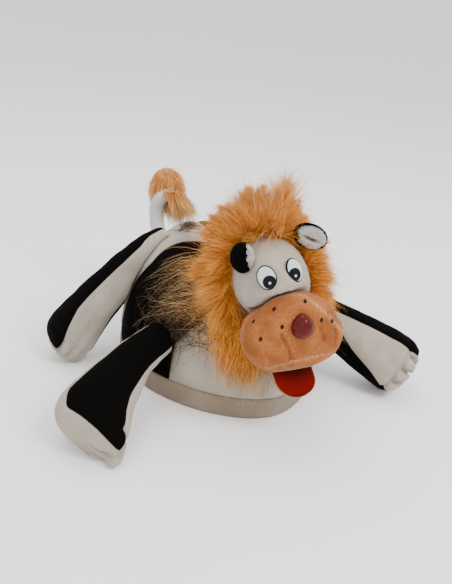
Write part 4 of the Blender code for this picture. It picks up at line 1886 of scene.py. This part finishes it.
    def nape(self, skull: Piece) -> Piece:
        """Cover the back of the head with the mane's fur.

        Args:
            skull: The stuffed head.

        Returns:
            The dressed piece.
        """
        coat = self.NAPE
        fur = Fur(coat.name, coat.width, seed=coat.seed)
        roots, ways = fur.on(skull, coat.count, lambda places: HEAD.local(places)[:, 1] > self.nape_behind)
        flow = ways * 0.6 + fur.draw.normal(0, coat.wander, ways.shape)
        flow[:, 2] -= 0.6
        size = self.nape_length * fur.draw.uniform(0.6, 1.1, len(roots))
        lines = fur.clump(fur.routes(roots, flow, size, 0.2, 0.2), coat.locks, coat.pull)
        return fur.build(lines, Finish.MANE)

    def build(self, skull: Piece) -> None:
        """Make the backing and its fur.

        Args:
            skull: The stuffed head, whose back is covered too.
        """
        backing = self.backing()
        for coat in self.COATS:
            self.grow(backing, coat)
        self.nape(skull)


@dataclass(frozen=True)
class StrayPatch:
    """A patch of long hairs that lie on the crown: where they start and the way they run."""

    name: str
    count: int
    turns: tuple[float, float]
    climbs: tuple[float, float]
    run_turn: tuple[float, float]
    run_climb: tuple[float, float]
    finish: Finish = Finish.WISP
    lift: float = 0.0022
    locks: int = 60


@dataclass
class StrayHairs:
    """Long golden hairs of the mane, strayed over the crown's gores."""

    width: float = 0.00042
    points: int = 8
    first_seed: int = 23
    height: float = 0.0015
    lowest: float = 0.06
    highest: float = 0.97

    DARK = Finish.MATTED
    PATCHES = (
        StrayPatch("top", 190, (196, 238), (0.74, 0.93), (-34, 2), (-0.46, -0.16), locks=30),
        StrayPatch("side", 250, (224, 246), (0.46, 0.78), (-50, -8), (-0.30, -0.02), locks=36),
        StrayPatch("shoulder", 170, (208, 234), (0.26, 0.50), (-34, 8), (-0.24, 0.08), DARK, locks=40),
        StrayPatch("shade", 160, (200, 238), (0.46, 0.90), (-34, -4), (-0.30, -0.04), DARK, locks=40),
        StrayPatch("beard", 2000, (240, 254), (0.32, 0.54), (-7, 5), (-0.26, -0.04), Finish.MANE, 0.0045,
                   locks=130),
        StrayPatch("chin", 170, (240, 264), (0.24, 0.46), (-10, 10), (-0.34, -0.10), locks=40),
        StrayPatch("ridge", 90, (118, 138), (0.69, 0.76), (-14, 6), (-0.05, 0.05), DARK, locks=25),
    )

    def build(self) -> None:
        """Lay the hairs on the crown, a patch at a time."""
        for row, patch in enumerate(self.PATCHES):
            self.lay(patch, self.first_seed + row)

    def lay(self, patch: StrayPatch, seed: int) -> Piece:
        """Lay one patch of hairs.

        Args:
            patch: The patch.
            seed: Seed of its random draws.

        Returns:
            The dressed piece.
        """
        fur = Fur(f"stray_hairs_{patch.name}", self.width, self.points, seed=seed)
        lines = []
        for _ in range(patch.count):
            turn, climb = fur.draw.uniform(*patch.turns), fur.draw.uniform(*patch.climbs)
            run, rise = fur.draw.uniform(*patch.run_turn), fur.draw.uniform(*patch.run_climb)
            wave, lift = fur.draw.normal(0, 6.0), patch.lift * fur.draw.uniform(0.5, 1.8)
            dip = fur.draw.normal(0, 0.04)
            line = []
            for along in np.linspace(0, 1, self.points):
                here = turn + run * along + wave * math.sin(math.pi * along)
                high = climb + rise * along ** 1.4 + dip * math.sin(math.tau * along)
                out = self.height + lift * math.sin(math.pi * (0.15 + 0.8 * along))
                line.append(CROWN.point(here, min(max(high, self.lowest), self.highest), out))
            lines.append(line)
        return fur.build(fur.clump(np.array(lines, dtype=float), patch.locks, 0.65), patch.finish)


@dataclass
class Tail:
    """Plush tube of the tail, and the tuft of long fur round its tip."""

    pull: Place = (0.25, 0.0, -1.0)
    count: int = 7000
    length: float = 0.014
    orange_above: float = 0.131
    pale_below: float = 0.118
    furthest_back: float = 0.1425

    def bleach(self, points: np.ndarray) -> np.ndarray:
        """How pale the tuft is at each point: blond below its top."""
        return np.clip((self.orange_above - points[:, 2]) / (self.orange_above - self.pale_below), 0.2, 1)

    def build(self) -> None:
        """Make the tail, the tuft's backing and its fur."""
        stem = Stuffing(shrink=0.0005, voxel=0.0020, cap=0.0012, smooth=4).build("tail_plush", "tail")
        dress(stem, Finish.GREY, "tail", fill=0.9)
        shaggy = Stuffing(shrink=0.0018, voxel=0.0018, cap=0.0008, smooth=3)
        backing = shaggy.build("tuft_backing", "tail_tuft")
        write_attribute(backing, "pale", self.bleach(points_of(backing)))
        dress(backing, Finish.BACKING, "tail_tuft", fill=0.6)
        fur = Fur("tuft_fur", 0.0004, seed=31)
        roots, ways = fur.on(backing, self.count)
        flow = ways * 0.45 + np.array(self.pull) * 0.8 + fur.draw.normal(0, 0.2, ways.shape)
        flow[:, 1] = np.minimum(flow[:, 1], 0.05)
        size = self.length * (1 + 0.8 * self.bleach(roots)) * fur.draw.uniform(0.4, 1.0, len(roots))
        lines = fur.clump(fur.routes(roots, flow, size, 0.25, 0.2), 160, 0.7)
        lines[:, :, 1] = np.minimum(lines[:, :, 1], self.furthest_back)
        pale = np.clip(self.bleach(roots) + 0.25 * fur.draw.random(len(roots)), 0, 1)
        fur.build(lines, Finish.MANE, pale)


# Studio

@dataclass
class Studio:
    """Pale floor and soft lights."""

    half_side: float = 12.0
    level_to: float = 6.0
    sweep: float = 9.0
    sky: Colour = (0.86, 0.86, 0.86)
    sky_strength: float = 1.7
    aim: Place = (0, 0, 0.06)

    LIGHTS = (
        ("key_light", (0.30, -0.80, 1.05), 0.5, 12.0),
        ("fill_light", (-0.95, -0.70, 0.75), 1.1, 4.0),
        ("top_light", (0.0, 0.35, 1.35), 1.2, 9.0),
    )

    def build(self) -> None:
        """Make the floor, the sky and the lights. The floor sweeps up far away, so no horizon shows."""
        bm = bmesh.new()
        bmesh.ops.create_grid(bm, x_segments=60, y_segments=60, size=self.half_side)
        for vert in bm.verts:
            vert.co.z = max(vert.co.length - self.level_to, 0) ** 2 / (2 * self.sweep)
        floor = add_piece("floor", bm)
        floor.data.materials.append(material_of(Finish.FLOOR))
        world = bpy.data.worlds.new("studio_sky")
        world.use_nodes = True
        sky = world.node_tree.nodes["Background"]
        sky.inputs["Color"].default_value = (*self.sky, 1.0)
        sky.inputs["Strength"].default_value = self.sky_strength
        bpy.context.scene.world = world
        for name, place, size, power in self.LIGHTS:
            lamp = bpy.data.lights.new(name, "AREA")
            lamp.shape = "DISK"
            lamp.size = size
            lamp.energy = power
            light = bpy.data.objects.new(name, lamp)
            light.location = place
            towards = Vector(self.aim) - Vector(place)
            light.rotation_euler = towards.to_track_quat("-Z", "Y").to_euler()
            bpy.context.scene.collection.objects.link(light)


def main() -> None:
    """Build every piece in order and note each piece's size."""
    logging.basicConfig(level=logging.INFO, format="%(name)s %(message)s")
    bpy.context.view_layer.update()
    VIEW.build()
    Studio().build()
    Crown().build()
    Sweatband().build()
    snout = Snout()
    snout.build()
    skull = Face().build(snout)
    for ear in EARS:
        ear.build()
    Tongue().build(snout)
    for leg in LEGS:
        leg.build()
    Mane().build(skull)
    StrayHairs().build()
    Tail().build()


if __name__ == "__main__":
    main()
